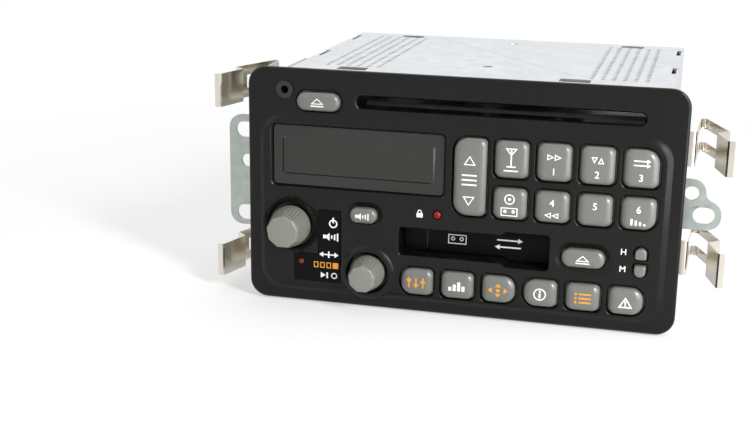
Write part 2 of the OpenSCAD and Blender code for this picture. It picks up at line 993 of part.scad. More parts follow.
// Cap with a rounded front edge, a lip behind the bezel and a stem into its switch
module push_key(key, front = pad_rise + key_rise) {
  lip = key[4] + flange_lip;
  color(grey) {
    on_face(key[0])
      loft(concat(
        [
          level(rounded_by(key[1], key[2], key[3], lip), -flange_back),
          level(rounded_by(key[1], key[2], key[3], lip), -flange_front),
          level(rounded_by(key[1], key[2], key[3], 0), -flange_front)
        ],
        key_front(key, front)
      ));
    key_stem(key[0]);
  }
}

module key_stem(at) {
  on_face(at, stem_tip)
    translate([-stem_w / 2, -stem_w / 2, 0])
      cube([stem_w, stem_w, stem_tip - flange_back + 0.4]);
}

module seek_rocker() {
  key = [seek_at, seek_w, seek_h, SEEK_CORNERS, key_gap];
  tab_w = seek_w + 2 * (key_gap + flange_lip);
  color(grey) {
    on_face(seek_at)
      loft(concat(
        [level(rounded(seek_w, seek_h, SEEK_CORNERS), -flange_back)],
        key_front(key, pad_rise + key_rise)
      ));
    on_face(seek_at, flange_back)
      translate([-tab_w / 2, -seek_tab_h / 2, 0])
        cube([tab_w, seek_tab_h, flange_t]);
    on_face(seek_at, seek_pivot)
      rotate([0, 90, 0])
        cylinder(h = tab_w + 2 * pivot_reach, r = pivot_r, center = true);
    for (s = [-1, 1])
      key_stem(seek_at + [0, s * seek_stem]);
  }
}

module disc_eject_key() {
  push_key(EJECT, eject_level + key_rise);
}

module band_key() {
  push_key(BAND);
}

module source_key() {
  push_key(SOURCE);
}

module preset_key(number) {
  push_key(PRESETS[number - 1]);
}

module bottom_key(i) {
  push_key(BOTTOM[i]);
}

module speed_volume_key() {
  push_key(OVAL);
}

module tape_eject_key() {
  push_key(TAPE_EJECT);
}

module hour_key() {
  push_key(HOUR);
}

module minute_key() {
  push_key(MINUTE);
}

// Chassis

module front_plate() {
  color(zinc)
    difference() {
      on_face([0, 0], bezel_d)
        linear_extrude(plate_t, convexity = 8)
          polygon(flat(bezel_ring(face_wall + seat, 0, bezel_lean)));
      on_face(slot_at, bezel_d + 1)
        plate(rounded(disc_slot_w + 4, disc_slot_h + 3.4, 1), plate_t + 2);
      tape_space(bezel_d, plate_t);
      jack_space(bezel_d, plate_t);
      for (x = arm_x, z = [chassis_top - sheet - 1, chassis_floor + sheet + 3])
        on_face([x, z], bezel_d)
          translate([0, 0, plate_t / 2])
            cube([arm_w + 1, 6, plate_t + 2], center = true);
    }
}

LEDGE_DEPTHS = [40, 132];
ledge = [4, 10];
lug_l = 16;
lug_play = 1;

module chassis_frame() {
  wall_h = chassis_h - 2 * sheet;
  color(zinc)
    difference() {
      union() {
        for (s = [-1, 1])
          translate([s > 0 ? wall_in : -chassis_w / 2, -chassis_d / 2, sheet])
            cube([sheet, chassis_d, wall_h]);
        translate([-chassis_w / 2, chassis_d / 2 - sheet, sheet])
          cube([chassis_w, sheet, wall_h]);
        for (s = [-1, 1], depth = LEDGE_DEPTHS, z = [deck_z, tape_deck_z])
          translate([s * (wall_in - ledge[0] / 2), face_y + depth, face_z + z - sheet / 2])
            cube([ledge[0] + 2 * eps, ledge[1], sheet], center = true);
        for (s = [-1, 1], depth = LUG_DEPTHS)
          translate([s > 0 ? wall_in : -chassis_w / 2, face_y + depth - lug_l / 2, chassis_h - sheet - eps])
            cube([sheet, lug_l, sheet * 0.7]);
      }
      on_face(socket_at, chassis_back + 1)
        translate([-socket_w / 2 - seat, -socket_h / 2 - seat, 0])
          cube([socket_w + 2 * seat, socket_h + 2 * seat, 4]);
      on_face(aerial_at, chassis_back + 1)
        cylinder(h = 4, r = aerial_r + seat);
      for (s = [-1, 1], z = [-screw_z, screw_z])
        translate([s * chassis_w / 2, face_y + screw_depth, face_z + z])
          rotate([0, 90, 0])
            cylinder(h = 6, r = screw_shank_r + 0.1, center = true);
    }
}

LUG_DEPTHS = [84, 145];
VENT_ROWS = [for (i = [0:5]) each [-74 + 5 * i, 51 + 5 * i]];
vent_from = 48;
vent_to = 153;
crease_centre = 106;
crease_reach = [43, 53];
crease_w = 0.6;
cover_lip = 6;
cover_hole = [0, 67];
cover_hole_d = 4.4;
dimple = [0, 148];
dimple_r = 2.5;
dimple_d = 0.4;
rear_slot_x = [-57.5, 62];
rear_slot = [11.5, 7];
rear_slot_depth = 158.5;

module vent_holes() {
  for (x = VENT_ROWS, i = [0:vent_count - 1])
    translate([x, vent_from + (vent_to - vent_from) * i / (vent_count - 1)])
      circle(d = vent_d, $fn = 16);
}

module cover_outline() {
  translate([-chassis_w / 2, bezel_d])
    square([chassis_w, chassis_d]);
}

module slot(x, y, w, l) {
  translate([x - w / 2, y - l / 2])
    square([w, l]);
}

module arm_slots() {
  for (x = arm_x)
    slot(x, (arm_slot_d[0] + arm_slot_d[1]) / 2, arm_slot_w, arm_slot_d[1] - arm_slot_d[0]);
}

// Down-turned edge inside the side walls
module cover_lips(z, lip_h) {
  for (s = [-1, 1])
    translate([s > 0 ? wall_in - seat - sheet : seat - wall_in, bezel_d + 4, z])
      cube([sheet, chassis_d - 10, lip_h]);
}

module top_cover() {
  color(zinc)
    in_plan(chassis_top - sheet)
      difference() {
        union() {
          linear_extrude(sheet, convexity = 10)
            difference() {
              cover_outline();
              vent_holes();
              arm_slots();
              for (x = rear_slot_x)
                slot(x, rear_slot_depth, rear_slot[0], rear_slot[1]);
              translate(cover_hole)
                circle(d = cover_hole_d);
              for (s = [-1, 1], depth = LUG_DEPTHS)
                slot(s * (chassis_w / 2 - 1), depth, 4, lug_l + 2 * lug_play);
            }
          cover_lips(-cover_lip, cover_lip + eps);
        }
        for (s = [-1, 1])
          translate([0, crease_centre, sheet])
            rotate([0, 0, s * atan2(crease_reach[1], crease_reach[0])])
              rotate([45, 0, 0])
                cube([2 * norm(crease_reach), crease_w, crease_w], center = true);
        translate([dimple[0], dimple[1], sheet])
          cylinder(h = 2 * dimple_d, r = dimple_r, center = true);
        for (s = [-1, 1], depth = LUG_DEPTHS)
          translate([s * (wall_in - 1), depth, -cover_lip / 2])
            cube([6, lug_l + 3 * lug_play, cover_lip + 1], center = true);
      }
}

main_t = 1.6;
main_margin = 1.4;
tuner_at = [-82, 137];
tuner = [34, 20, 16];
amp_x = -40;
amp_in = 6;
amp = [22, 4, 22];
cap_x = [-10, 5, 20];
cap_depth = 144;
cap_h = 18;
cap_r = 6;
chip_at = [[60, 70], [60, 96]];
chip = [14, 14, 2.4];
STANDOFFS = [[-78, 52], [78, 52], [-78, 150], [78, 150]];
standoff_h = 4;
standoff_r = 3;
board_z = chassis_floor + sheet + standoff_h;

module bottom_cover() {
  color(zinc)
    in_plan(chassis_floor) {
      linear_extrude(sheet, convexity = 10)
        difference() {
          cover_outline();
          arm_slots();
          for (x = rear_slot_x)
            slot(x, rear_slot_depth, rear_slot[0], rear_slot[1]);
        }
      for (p = STANDOFFS)
        translate([p[0], p[1], sheet - eps])
          cylinder(h = standoff_h + eps, r = standoff_r);
    }
}

// Side brackets, clips and screws

module ear_holes(holes, slots) {
  for (p = holes)
    translate(p)
      circle(r = ear_hole_r);
  for (p = slots)
    translate(p)
      polygon(rounded(ear_slot[0], ear_slot[1], ear_slot_r, 8));
}

module bracket(side, plate_h, clip_z) {
  translate([side > 0 ? chassis_w / 2 : -chassis_w / 2 - ear_t, face_y + ear_front, face_z - plate_h / 2])
    difference() {
      cube([ear_t, bracket_back - ear_front, plate_h]);
      for (z = [-screw_z, screw_z])
        translate([ear_t / 2, screw_depth - ear_front, plate_h / 2 + z])
          rotate([0, 90, 0])
            cylinder(h = 6, r = screw_shank_r + 0.15, center = true);
    }
  on_face([0, 0], ear_front + ear_t)
    linear_extrude(ear_t, convexity = 6)
      children();
  reach_in = chassis_w / 2;
  reach = clip_flange_reach - reach_in;
  for (z = clip_z)
    translate([side > 0 ? reach_in : -clip_flange_reach, face_y + clip_foot + clip_t / 2, face_z + z - clip_h / 2])
      cube([reach, ear_t, clip_h]);
}

module left_bracket() {
  w = ear_reach - chassis_w / 2;
  color(plate_grey)
    bracket(-1, left_plate_h, left_clip_z)
      difference() {
        translate([-ear_reach + w / 2, left_ear_mid])
          polygon(rounded(w, left_ear_h, [left_ear_r, 0.3, 0.3, left_ear_r]));
        ear_holes(
          [[left_hole_in - ear_reach, ear_hole_z]],
          [for (z = left_slot_z) [left_slot_in - ear_reach, z]]
        );
      }
}

module right_bracket() {
  w = ear_reach - chassis_w / 2;
  color(plate_grey)
    bracket(1, right_plate_h, right_clip_z)
      difference() {
        union() {
          translate([chassis_w / 2 + right_ear_w / 2, right_ear_mid])
            polygon(rounded(right_ear_w, right_ear_h, [0.3, 5, 4, 0.3]));
          translate([ear_reach - w / 2, right_slot_z])
            polygon(rounded(w, right_lobe_h, [0.3, right_lobe_r, right_lobe_r, 0.3]));
        }
        ear_holes([[chassis_w / 2 + right_hole_out, ear_hole_z]], [[ear_reach - right_slot_in, right_slot_z]]);
      }
}

function clip_at(p) = p + [chassis_w / 2, clip_foot];

// Plan of one right-hand clip: foot, inner leaf, bend, outer leaf, step and release tab
clip_path = concat(
  [clip_at([clip_root, 0])],
  arc(clip_at(clip_knee), clip_knee_r, -90, -4, 3),
  arc(clip_at(clip_bend), clip_bend_r, 180, 20, 6),
  [for (p = clip_leaf) clip_at(p)]
);

module clip_right(z) {
  in_plan(z - clip_h / 2)
    difference() {
      plate(strip(clip_path, clip_t), clip_h);
      translate([chassis_w / 2 + clip_window_at[0], clip_window_at[1], (clip_h - clip_window[2]) / 2 - 0.1])
        cube(clip_window);
    }
}

module spring_clips() {
  color(steel) {
    for (z = right_clip_z)
      clip_right(z);
    for (z = left_clip_z)
      mirror([1, 0, 0])
        clip_right(z);
  }
}

module bracket_screws() {
  color(steel)
    for (s = [-1, 1], z = [-screw_z, screw_z])
      translate([s * (chassis_w / 2 + ear_t), face_y + screw_depth, face_z + z])
        rotate([0, s * 90, 0]) {
          cylinder(h = screw_head_h, r = screw_head_r, $fn = 6);
          translate([0, 0, -ear_t - sheet - screw_reach])
            cylinder(h = ear_t + sheet + screw_reach + eps, r = screw_shank_r);
        }
}

// Back of the radio

module heat_sink() {
  pitch = sink_w / sink_fins;
  color("#8d9194")
    translate([sink_at[0] - sink_w / 2, chassis_d / 2, face_z + sink_at[1] - sink_h / 2]) {
      cube([sink_w, sink_base_t, sink_h]);
      for (i = [0:sink_fins - 1])
        translate([pitch * (i + 0.5) - sink_fin_t / 2, sink_base_t - eps, 0])
          cube([sink_fin_t, sink_d - sink_base_t + eps, sink_h]);
    }
}

module wiring_socket() {
  color("#2b2b2b")
    on_face(socket_at, chassis_back + socket_out) {
      difference() {
        translate([-socket_w / 2, -socket_h / 2, 0])
          cube([socket_w, socket_h, socket_d]);
        translate([-socket_w / 2 + socket_wall, -socket_h / 2 + socket_wall, -over])
          cube([socket_w - 2 * socket_wall, socket_h - 2 * socket_wall, socket_d - socket_base + over]);
      }
      for (i = [0:11], row = [-1, 1])
        translate([(i - 5.5) * pin_pitch - pin_w / 2, row * pin_row - pin_w / 2, pin_in])
          cube([pin_w, pin_w, socket_d - pin_in - eps]);
    }
}

module aerial_socket() {
  color(steel)
    on_face(aerial_at, chassis_back + aerial_out)
      difference() {
        union() {
          cylinder(h = aerial_l, r = aerial_r);
          translate([0, 0, aerial_out - aerial_flange_t])
            cylinder(h = aerial_flange_t, r = aerial_r + aerial_flange_w);
        }
        translate([0, 0, -over])
          cylinder(h = aerial_bore_d + over, r = aerial_bore_r);
      }
}

module main_board() {
  back = chassis_back - sheet - 1;
  front = arm_slot_d[1] + 2;
  board_w = 2 * (wall_in - main_margin);
  color("#35603f")
    in_plan(board_z) {
      translate([-board_w / 2, front, 0])
        cube([board_w, back - front, main_t]);
      translate([tuner_at[0], tuner_at[1], main_t - eps])
        cube(tuner);
      translate([amp_x, back - amp_in, main_t - eps])
        cube(amp);
      for (x = cap_x)
        translate([x, cap_depth, main_t - eps])
          cylinder(h = cap_h, r = cap_r);
      for (p = chip_at)
        translate([p[0], p[1], main_t - eps])
          cube(chip);
    }
}

// Disc player

module disc_deck() {
  w = 2 * (wall_in - seat);
  hole_front = disc_centre - table_hole;
  color("#b5b9bb")
    in_plan(deck_z) {
      difference() {
        union() {
          difference() {
            translate([-w / 2, deck_front, 0])
              cube([w, deck_back - deck_front, deck_t]);
            translate([slot_at[0] - table_hole, hole_front, -1])
              cube([2 * table_hole, bridge - hole_front, deck_t + 2]);
            translate([slot_at[0] - sled_bay_left, bridge + sled_bay_rim, -1])
              cube([sled_bay_w, deck_back - bridge - 3 * sled_bay_rim, deck_t + 2]);
          }
          for (s = [-1, 1])
            translate([slot_at[0] + s * rail_x - rail_t / 2, deck_front, 0])
              cube([rail_t, deck_back - deck_front, rail_top - deck_z]);
          for (depth = [bridge, rear_bridge])
            translate([slot_at[0] - rod_x - bridge_over, depth, deck_t - eps])
              cube([rod_x + screw_x + 2 * bridge_over, bridge_t, bridge_h]);
        }
        translate([slot_at[0], roller_depth, roller_z - deck_z])
          rotate([0, 90, 0])
            cylinder(h = 2 * rail_x + 8, r = spindle_r + shaft_free, center = true);
        translate([slot_at[0] + screw_x, 0, rod_z])
          rotate([-90, 0, 0])
            cylinder(h = chassis_back, r = spindle_r + shaft_free);
      }
      for (s = [-1, 1])
        translate([slot_at[0] + s * rod_x, bridge + bridge_t - rod_in, rod_z])
          rotate([-90, 0, 0])
            cylinder(h = rear_bridge - bridge - bridge_t + 2 * rod_in, r = rod_r);
    }
}

module spindle_motor() {
  color("#9a9d9f")
    translate([slot_at[0], face_y + disc_centre, face_z + deck_z - motor_drop])
      difference() {
        union() {
          cylinder(h = motor_h, r = motor_r);
          for (size = [motor_plate, motor_bar])
            translate([-size[0] / 2, -size[1] / 2, motor_drop - size[2]])
              cube(size);
        }
        translate([0, 0, 1])
          cylinder(h = 20, r = spindle_r + shaft_free);
      }
}

module loading_roller() {
  half = rail_x - roller_short;
  color("#3a3a3a")
    translate([slot_at[0], face_y + roller_depth, face_z + roller_z])
      rotate([0, 90, 0]) {
        for (s = [0, 1])
          mirror([0, 0, s])
            translate([0, 0, -eps])
              cylinder(h = half, r1 = roller_neck_r, r2 = roller_r);
        cylinder(h = 2 * rail_x + 3, r = spindle_r, center = true);
      }
}

module turntable() {
  color("#2c2c2e")
    translate([slot_at[0], face_y + disc_centre, face_z]) {
      translate([0, 0, table_top - table_drop])
        cylinder(h = table_t, r = table_r);
      translate([0, 0, table_top - cone_drop])
        cylinder(h = cone_h, r1 = cone_r[0], r2 = cone_r[1]);
      translate([0, 0, deck_z - spindle_drop])
        cylinder(h = table_top - 3 - deck_z + spindle_drop, r = spindle_r);
    }
}

module optical_sled() {
  color("#3f4a52")
    translate([slot_at[0], face_y + sled_rest, face_z + deck_z + rod_z])
      difference() {
        union() {
          translate([-sled_w / 2, -sled_l / 2, -sled_drop])
            cube([sled_w, sled_l, sled_t]);
          translate([0, -eye_front, sled_t - sled_drop - 0.1])
            cylinder(h = eye_h, r = eye_r);
          translate([sled_w / 2 - eps, -finger[0] / 2, -finger[1] / 2])
            cube([screw_x - sled_w / 2 - screw_r - free, finger[0], finger[1]]);
        }
        for (s = [-1, 1])
          translate([s * rod_x, 0, 0])
            rotate([90, 0, 0])
              cylinder(h = sled_l + 2, r = rod_r + shaft_free, center = true);
      }
}

module sled_screw() {
  color(steel)
    translate([slot_at[0] + screw_x, face_y, face_z + deck_z + rod_z])
      rotate([-90, 0, 0]) {
        translate([0, 0, bridge + bridge_t + free])
          cylinder(h = rear_bridge - bridge - bridge_t - 2 * free, r = screw_r);
        translate([0, 0, bridge - journal])
          cylinder(h = rear_bridge + bridge_t + free - bridge + journal, r = spindle_r);
      }
}

// Cassette player

module tape_deck() {
  w = 2 * (wall_in - seat);
  long = tape_deck_back - deck_front;
  guide = tape_w / 2 + guide_gap;
  guide_top = tape_at[1] + tape_h / 2 + guide_over - tape_deck_z;
  color("#b5b9bb")
    in_plan(tape_deck_z)
      difference() {
        union() {
          translate([-w / 2, deck_front, 0])
            cube([w, long, deck_t]);
          for (s = [-1, 1])
            translate([tape_at[0] + s * (guide + guide_t / 2) - guide_t / 2, deck_front + guide_front, 0])
              cube([guide_t, long - guide_front, guide_top]);
          translate([tape_at[0] - guide, tape_deck_back - guide_t, 0])
            cube([2 * guide, guide_t, guide_top]);
        }
        for (i = [0, 1]) {
          translate([hub_x, hub_depth + i * hub_gap, -1])
            cylinder(h = deck_t + 2, r = capstan_r + shaft_free);
          translate([capstan_x, hub_depth + i * hub_gap, -1])
            cylinder(h = deck_t + 2, r = capstan_r + shaft_free);
        }
      }
}

module reel_hub(i) {
  foot = tape_deck_z + deck_t + free;
  color("#d9d6cc")
    translate([hub_x, face_y + hub_depth + i * hub_gap, face_z]) {
      translate([0, 0, foot])
        cylinder(h = hub_base_t, r = hub_r + hub_flange);
      translate([0, 0, foot])
        cylinder(h = hub_tip - foot, r1 = hub_r, r2 = hub_r - hub_taper);
      for (k = [0:5])
        rotate([0, 0, 60 * k])
          translate([hub_r - hub_tooth_in, -hub_tooth[1] / 2, foot])
            cube([hub_tooth[0], hub_tooth[1], hub_tip - foot - 1]);
      translate([0, 0, tape_deck_z - pin_reach])
        cylinder(h = foot + hub_base_t - tape_deck_z, r = capstan_r);
    }
}

module flywheel(i) {
  top = tape_deck_z - free;
  color("#a9acae")
    translate([capstan_x, face_y + hub_depth + i * hub_gap, face_z]) {
      translate([0, 0, top - flywheel_t])
        cylinder(h = flywheel_t, r = flywheel_r);
      translate([0, 0, top - 1])
        cylinder(h = hub_tip - top + 1, r = capstan_r);
    }
}

module front_reel_hub() {
  reel_hub(0);
}

module rear_reel_hub() {
  reel_hub(1);
}

module front_flywheel() {
  flywheel(0);
}

module rear_flywheel() {
  flywheel(1);
}

module tape_door() {
  color("#1b1b1c") {
    on_face(tape_at, door_front + door_t)
      plate(tape_outline(door_gap), door_t);
    translate([tape_at[0], face_y + door_mid, face_z + door_axis_z])
      rotate([0, 90, 0])
        cylinder(h = tape_w + 2 * tape_tunnel_t - 0.6, r = door_pin_r, center = true);
  }
}

front_bezel();
display_lens();
legend_panel();
red_lamp();
amber_lamp();
aux_jack();
display_panel();
front_board();
key_switches();
encoder_cups();
front_plate();
chassis_frame();
top_cover();
bottom_cover();
left_bracket();
right_bracket();
spring_clips();
bracket_screws();
heat_sink();
wiring_socket();
aerial_socket();
main_board();
disc_deck();
spindle_motor();
loading_roller();
turntable();
optical_sled();
sled_screw();
tape_deck();
front_flywheel();
rear_flywheel();
front_reel_hub();
rear_reel_hub();
tape_door();
volume_knob();
volume_shaft();
volume_rotor();
tune_knob();
tune_shaft();
tune_rotor();
disc_eject_key();
seek_rocker();
band_key();
source_key();
preset_key(1);  // preset_1_key
preset_key(2);  // preset_2_key
preset_key(3);  // preset_3_key
preset_key(4);  // preset_4_key
preset_key(5);  // preset_5_key
preset_key(6);  // preset_6_key
bottom_key(0);  // tone_key
bottom_key(1);  // equaliser_key
bottom_key(2);  // balance_key
bottom_key(3);  // info_key
bottom_key(4);  // program_key
bottom_key(5);  // traffic_key
speed_volume_key();
tape_eject_key();
hour_key();
minute_key();
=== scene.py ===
import json
import math

import bmesh
import bpy
from bpy.props import FloatProperty, FloatVectorProperty, IntProperty, PointerProperty
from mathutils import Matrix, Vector

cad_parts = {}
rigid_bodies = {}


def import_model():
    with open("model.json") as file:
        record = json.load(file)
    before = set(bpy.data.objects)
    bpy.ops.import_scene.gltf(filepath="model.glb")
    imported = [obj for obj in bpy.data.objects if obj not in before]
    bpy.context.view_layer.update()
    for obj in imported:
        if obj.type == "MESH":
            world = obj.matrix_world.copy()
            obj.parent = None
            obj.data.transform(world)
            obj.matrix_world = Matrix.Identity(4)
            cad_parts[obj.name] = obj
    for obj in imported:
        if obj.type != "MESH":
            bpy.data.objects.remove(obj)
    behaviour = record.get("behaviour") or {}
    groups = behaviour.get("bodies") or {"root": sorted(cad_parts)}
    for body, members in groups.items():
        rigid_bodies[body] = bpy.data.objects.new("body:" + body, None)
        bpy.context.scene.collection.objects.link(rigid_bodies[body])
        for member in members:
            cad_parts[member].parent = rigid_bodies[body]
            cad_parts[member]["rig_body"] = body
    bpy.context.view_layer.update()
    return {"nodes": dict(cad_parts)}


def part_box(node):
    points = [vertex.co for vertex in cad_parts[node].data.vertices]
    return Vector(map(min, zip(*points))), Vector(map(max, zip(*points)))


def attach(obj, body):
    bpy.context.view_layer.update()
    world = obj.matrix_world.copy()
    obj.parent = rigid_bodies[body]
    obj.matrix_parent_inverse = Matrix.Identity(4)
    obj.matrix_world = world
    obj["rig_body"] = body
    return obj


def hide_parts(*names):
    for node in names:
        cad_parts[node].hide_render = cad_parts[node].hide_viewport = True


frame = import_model()

bl_info = {
    "name": "Car radio with disc and cassette player",
    "version": (1, 0, 0),
    "blender": (4, 5, 0),
    "location": "View3D > Sidebar > Radio",
    "description": "Models and finishes the visible pieces of a car radio on its packed frame",
    "category": "Object",
}

MM = 0.001
# Places closer than this count as one
NEAR = 0.001 * MM
# Turn that stands a flat primitive up, facing the viewer
UPRIGHT = (math.pi / 2, 0, 0)

# The bezel's rim plane and the middle of the face, where every place on the face is measured from
FACE_Y = -88.5
FACE_Z = 54.4
# Fronts of the flat surfaces that carry a legend, as depths behind the rim
FIELD_DEPTH = -1.4
DOOR_DEPTH = 8.6
# Depth of the flanges that hold the keys and the lens behind the bezel
FLANGE_DEPTH = 2.9

# Corner radii, from the top left clockwise
SQUARE = (0, 0, 0, 0)
PLAIN = (2.2, 2.2, 2.2, 2.2)
UPPER_END = (2.2, 6.0, 2.2, 2.2)
LOWER_END = (2.2, 2.2, 5.0, 2.2)
EVEN = (2.0, 2.0, 2.0, 2.0)
LEFT_END = (5.0, 2.0, 2.0, 5.0)
RIGHT_END = (2.0, 5.0, 5.0, 2.0)

# Rows of keys: height on the face, key height, place of the first key, pitch, names and corner radii
KEY_WIDTH = 14.4
ROWS = [
    (20.0, 16.2, 23.6, 18.35, "band preset_1 preset_2 preset_3", [PLAIN, PLAIN, PLAIN, UPPER_END]),
    (0.35, 13.6, 23.6, 18.35, "source preset_4 preset_5 preset_6", [PLAIN, PLAIN, PLAIN, LOWER_END]),
    (-39.15, 11.9, -17.0, 18.55, "tone equaliser balance", [LEFT_END, EVEN, RIGHT_END]),
    (-39.15, 11.9, 38.65, 18.55, "info program traffic", [LEFT_END, EVEN, RIGHT_END]),
]

# Keys: node, place on the face, width, height and corner radii
KEYS = [
    (f"{name}_key", first + count * pitch, z, KEY_WIDTH, height, corners)
    for z, height, first, pitch, names, radii in ROWS
    for count, (name, corners) in enumerate(zip(names.split(), radii))
]
KEYS += [
    ("seek_rocker", 5.6, 10.9, 14.2, 34.6, (6.0, 2.0, 2.0, 6.0)),
    ("disc_eject_key", -63.7, 39.8, 19.5, 8.0, (3.9, 3.9, 3.9, 3.9)),
    ("tape_eject_key", 56.4, -21.6, 18.5, 8.0, (3.9, 3.9, 3.9, 3.9)),
    ("speed_volume_key", -42.3, -10.5, 12.3, 6.8, (3.3, 3.3, 3.3, 3.3)),
    ("hour_key", 80.8, -17.2, 4.8, 4.8, (2.3, 2.3, 0.5, 0.5)),
    ("minute_key", 80.8, -24.95, 4.8, 4.8, (0.5, 0.5, 2.3, 2.3)),
]
KEY_AT = {node: (x, z) for node, x, z, *_ in KEYS}
OVALS = ("disc_eject_key", "tape_eject_key", "speed_volume_key")
DISHED = ("tape_eject_key", "speed_volume_key")
CLOCK = ("hour_key", "minute_key")

# Knobs: node, place on the face, foot and tip radius
VOLUME_AT = (-77.0, -18.3)
TUNE_AT = (-40.0, -37.0)
VOLUME_FOOT, TUNE_FOOT = 9.3, 8.0
KNOBS = [("volume_knob", *VOLUME_AT, VOLUME_FOOT, 7.3), ("tune_knob", *TUNE_AT, TUNE_FOOT, 6.1)]

# Raised control field
FIELD_AT = (0, -7.85)
FIELD_SIZE = (184.2, 83.9)
FIELD_CORNER = 10.6
# Disc slot: width, height at its middle and height at its ends
SLOT_AT = (16.3, 40.45)
SLOT_SIZE = (125.2, 5.4, 5.0)
# Cassette mouth: width and height, with a taller end at the right
TAPE_AT = (7.85, -20.95)
TAPE_SIZE = (67.1, 12.7)
TAPE_END = (21.0, 15.9)
LENS_AT = (-45.75, 14.6)
LENS_SIZE = (78.5, 27.2)
# Legend panel: place and size of its upright and of its foot
PANEL = [("upright", -58.2, -26.5, 10.4, 34), ("foot", -69, -37, 11.6, 13)]
RED_LAMP_AT = (-8.6, -7.6)
AMBER_LAMP_AT = (-71.6, -34.6)
JACK_AT = (-79.5, 44.4)


def linear(code):
    """Linear colour of an sRGB hex value."""
    parts = [int(code[i : i + 2], 16) / 255 for i in (1, 3, 5)]
    return tuple(c / 12.92 if c <= 0.04045 else ((c + 0.055) / 1.055) ** 2.4 for c in parts)


def length(name, description, mm):
    """Property that holds a length, given in millimetres."""
    return FloatProperty(name=name, description=description, default=mm * MM, unit="LENGTH", precision=4)


def colour(name, description, code):
    """Property that holds a colour, given as an sRGB hex value."""
    return FloatVectorProperty(
        name=name, description=description, default=linear(code), subtype="COLOR", min=0.0, max=1.0
    )


class RadioSizes(bpy.types.PropertyGroup):
    face_width: length("Face width", "Width of the bezel", 194)
    face_height: length("Face height", "Height of the bezel", 108.4)
    face_corner: length("Face corner", "Corner radius of the bezel", 8.5)
    face_edge: length("Face edge", "Rounding of the bezel's front edge", 2)
    bezel_depth: length("Bezel depth", "Depth of the bezel from front to back", 11)
    bezel_lean: length("Bezel lean", "Lean of the bezel's top and sides", 3)
    wall: length("Wall", "Thickness of the bezel's walls", 2.6)
    lip: length("Opening lip", "Rounding of the edges of wells and openings", 0.4)
    key_edge: length("Key edge", "Rounding of a key's front edge", 3.8)
    key_gap: length("Key gap", "Gap round a key in its hole", 0.8)
    knob_flats: IntProperty(
        name="Knob flats", description="Flats round a knob's tip", default=9, min=5, max=12
    )
    ink: length("Ink", "Thickness of a printed legend", 0.04)


class RadioColours(bpy.types.PropertyGroup):
    bezel: colour("Bezel", "Black moulded bezel", "#0b0c0a")
    keys: colour("Keys", "Satin grey of the keys", "#686964")
    knobs: colour("Knobs", "Satin grey of the knobs", "#7c7d75")
    lens: colour("Lens", "Smoked display lens", "#20201e")
    panel: colour("Panel", "Black legend panel and cassette flap", "#070707")
    sheet: colour("Sheet", "Galvanised chassis sheet", "#cbced1")
    ears: colour("Ears", "Zinc plated ears", "#a9b0aa")
    clips: colour("Clips", "Nickel plated spring clips", "#dad4c9")
    ink_white: colour("White ink", "White legends", "#f0f0ee")
    ink_orange: colour("Orange ink", "Orange legends", "#e0962c")


class RadioStage(bpy.types.PropertyGroup):
    lens: FloatProperty(name="Lens", description="Focal length in millimetres", default=62.62)
    stand: FloatVectorProperty(
        name="Camera",
        description="Place of the camera",
        default=(0.10327, -0.63529, 0.1999),
        subtype="TRANSLATION",
    )
    aim: FloatVectorProperty(
        name="Aim",
        description="Rotation of the camera",
        default=tuple(math.radians(a) for a in (74.184, -0.809, 14.640)),
        subtype="EULER",
    )
    floor: colour("Floor", "Pale studio floor", "#f4f4f3")


# Modelling


def on_face(x, z, depth):
    """Point in metres from a place on the face in millimetres."""
    return Vector((x, FACE_Y + depth, FACE_Z + z)) * MM


def key_front(node):
    """Depth of a key's front in its node, behind the rim."""
    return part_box(node)[0].y / MM - FACE_Y


def crown(node):
    """Depth of the highest point of a key's cap, behind the rim."""
    return min(corner[1] for corner in bpy.data.objects[f"{node}_cap"].bound_box) / MM - FACE_Y


def share(node, oval, clock):
    """Share of a plain key's gap or rounding that a key has: the oval and clock keys have less."""
    return oval if node in OVALS else clock if node in CLOCK else 1


def clear_selection():
    """Leaves edit mode and deselects everything."""
    if bpy.context.object and bpy.context.object.mode == "EDIT":
        bpy.ops.object.mode_set(mode="OBJECT")
    bpy.ops.object.select_all(action="DESELECT")


def activate(piece):
    """Makes a piece the one that the next operators act on."""
    clear_selection()
    piece.select_set(True)
    bpy.context.view_layer.objects.active = piece


def pick(kind, test=lambda item: True):
    """Selects the vertices, edges or faces of the piece in edit mode that pass a test, or all of them."""
    bpy.ops.mesh.select_mode(type=kind)
    bpy.ops.mesh.select_all(action="DESELECT")
    shape = bmesh.from_edit_mesh(bpy.context.object.data)
    for item in {"VERT": shape.verts, "EDGE": shape.edges, "FACE": shape.faces}[kind]:
        if test(item):
            item.select_set(True)
    bmesh.update_edit_mesh(bpy.context.object.data)


def edges_at(depth):
    """Selects the edges that lie at a depth behind the rim."""
    pick("EDGE", lambda e: all(abs(v.co.y - (FACE_Y + depth) * MM) < NEAR for v in e.verts))


def faces_at(depth):
    """Selects the faces whose middles lie at a depth behind the rim."""
    pick("FACE", lambda f: abs(f.calc_center_median().y - (FACE_Y + depth) * MM) < NEAR)


def start(name):
    """Names the new primitive, puts its place in its mesh and opens it for editing."""
    piece = bpy.context.object
    piece.name = piece.data.name = name
    bpy.ops.object.transform_apply(location=True, rotation=True, scale=True)
    bpy.ops.object.mode_set(mode="EDIT")
    return piece


def close(angle=35):
    """Turns the faces outwards, leaves edit mode and smooths the shading."""
    bpy.ops.mesh.select_all(action="SELECT")
    bpy.ops.mesh.normals_make_consistent(inside=False)
    bpy.ops.object.mode_set(mode="OBJECT")
    bpy.ops.object.shade_smooth_by_angle(angle=math.radians(angle))
    return bpy.context.object


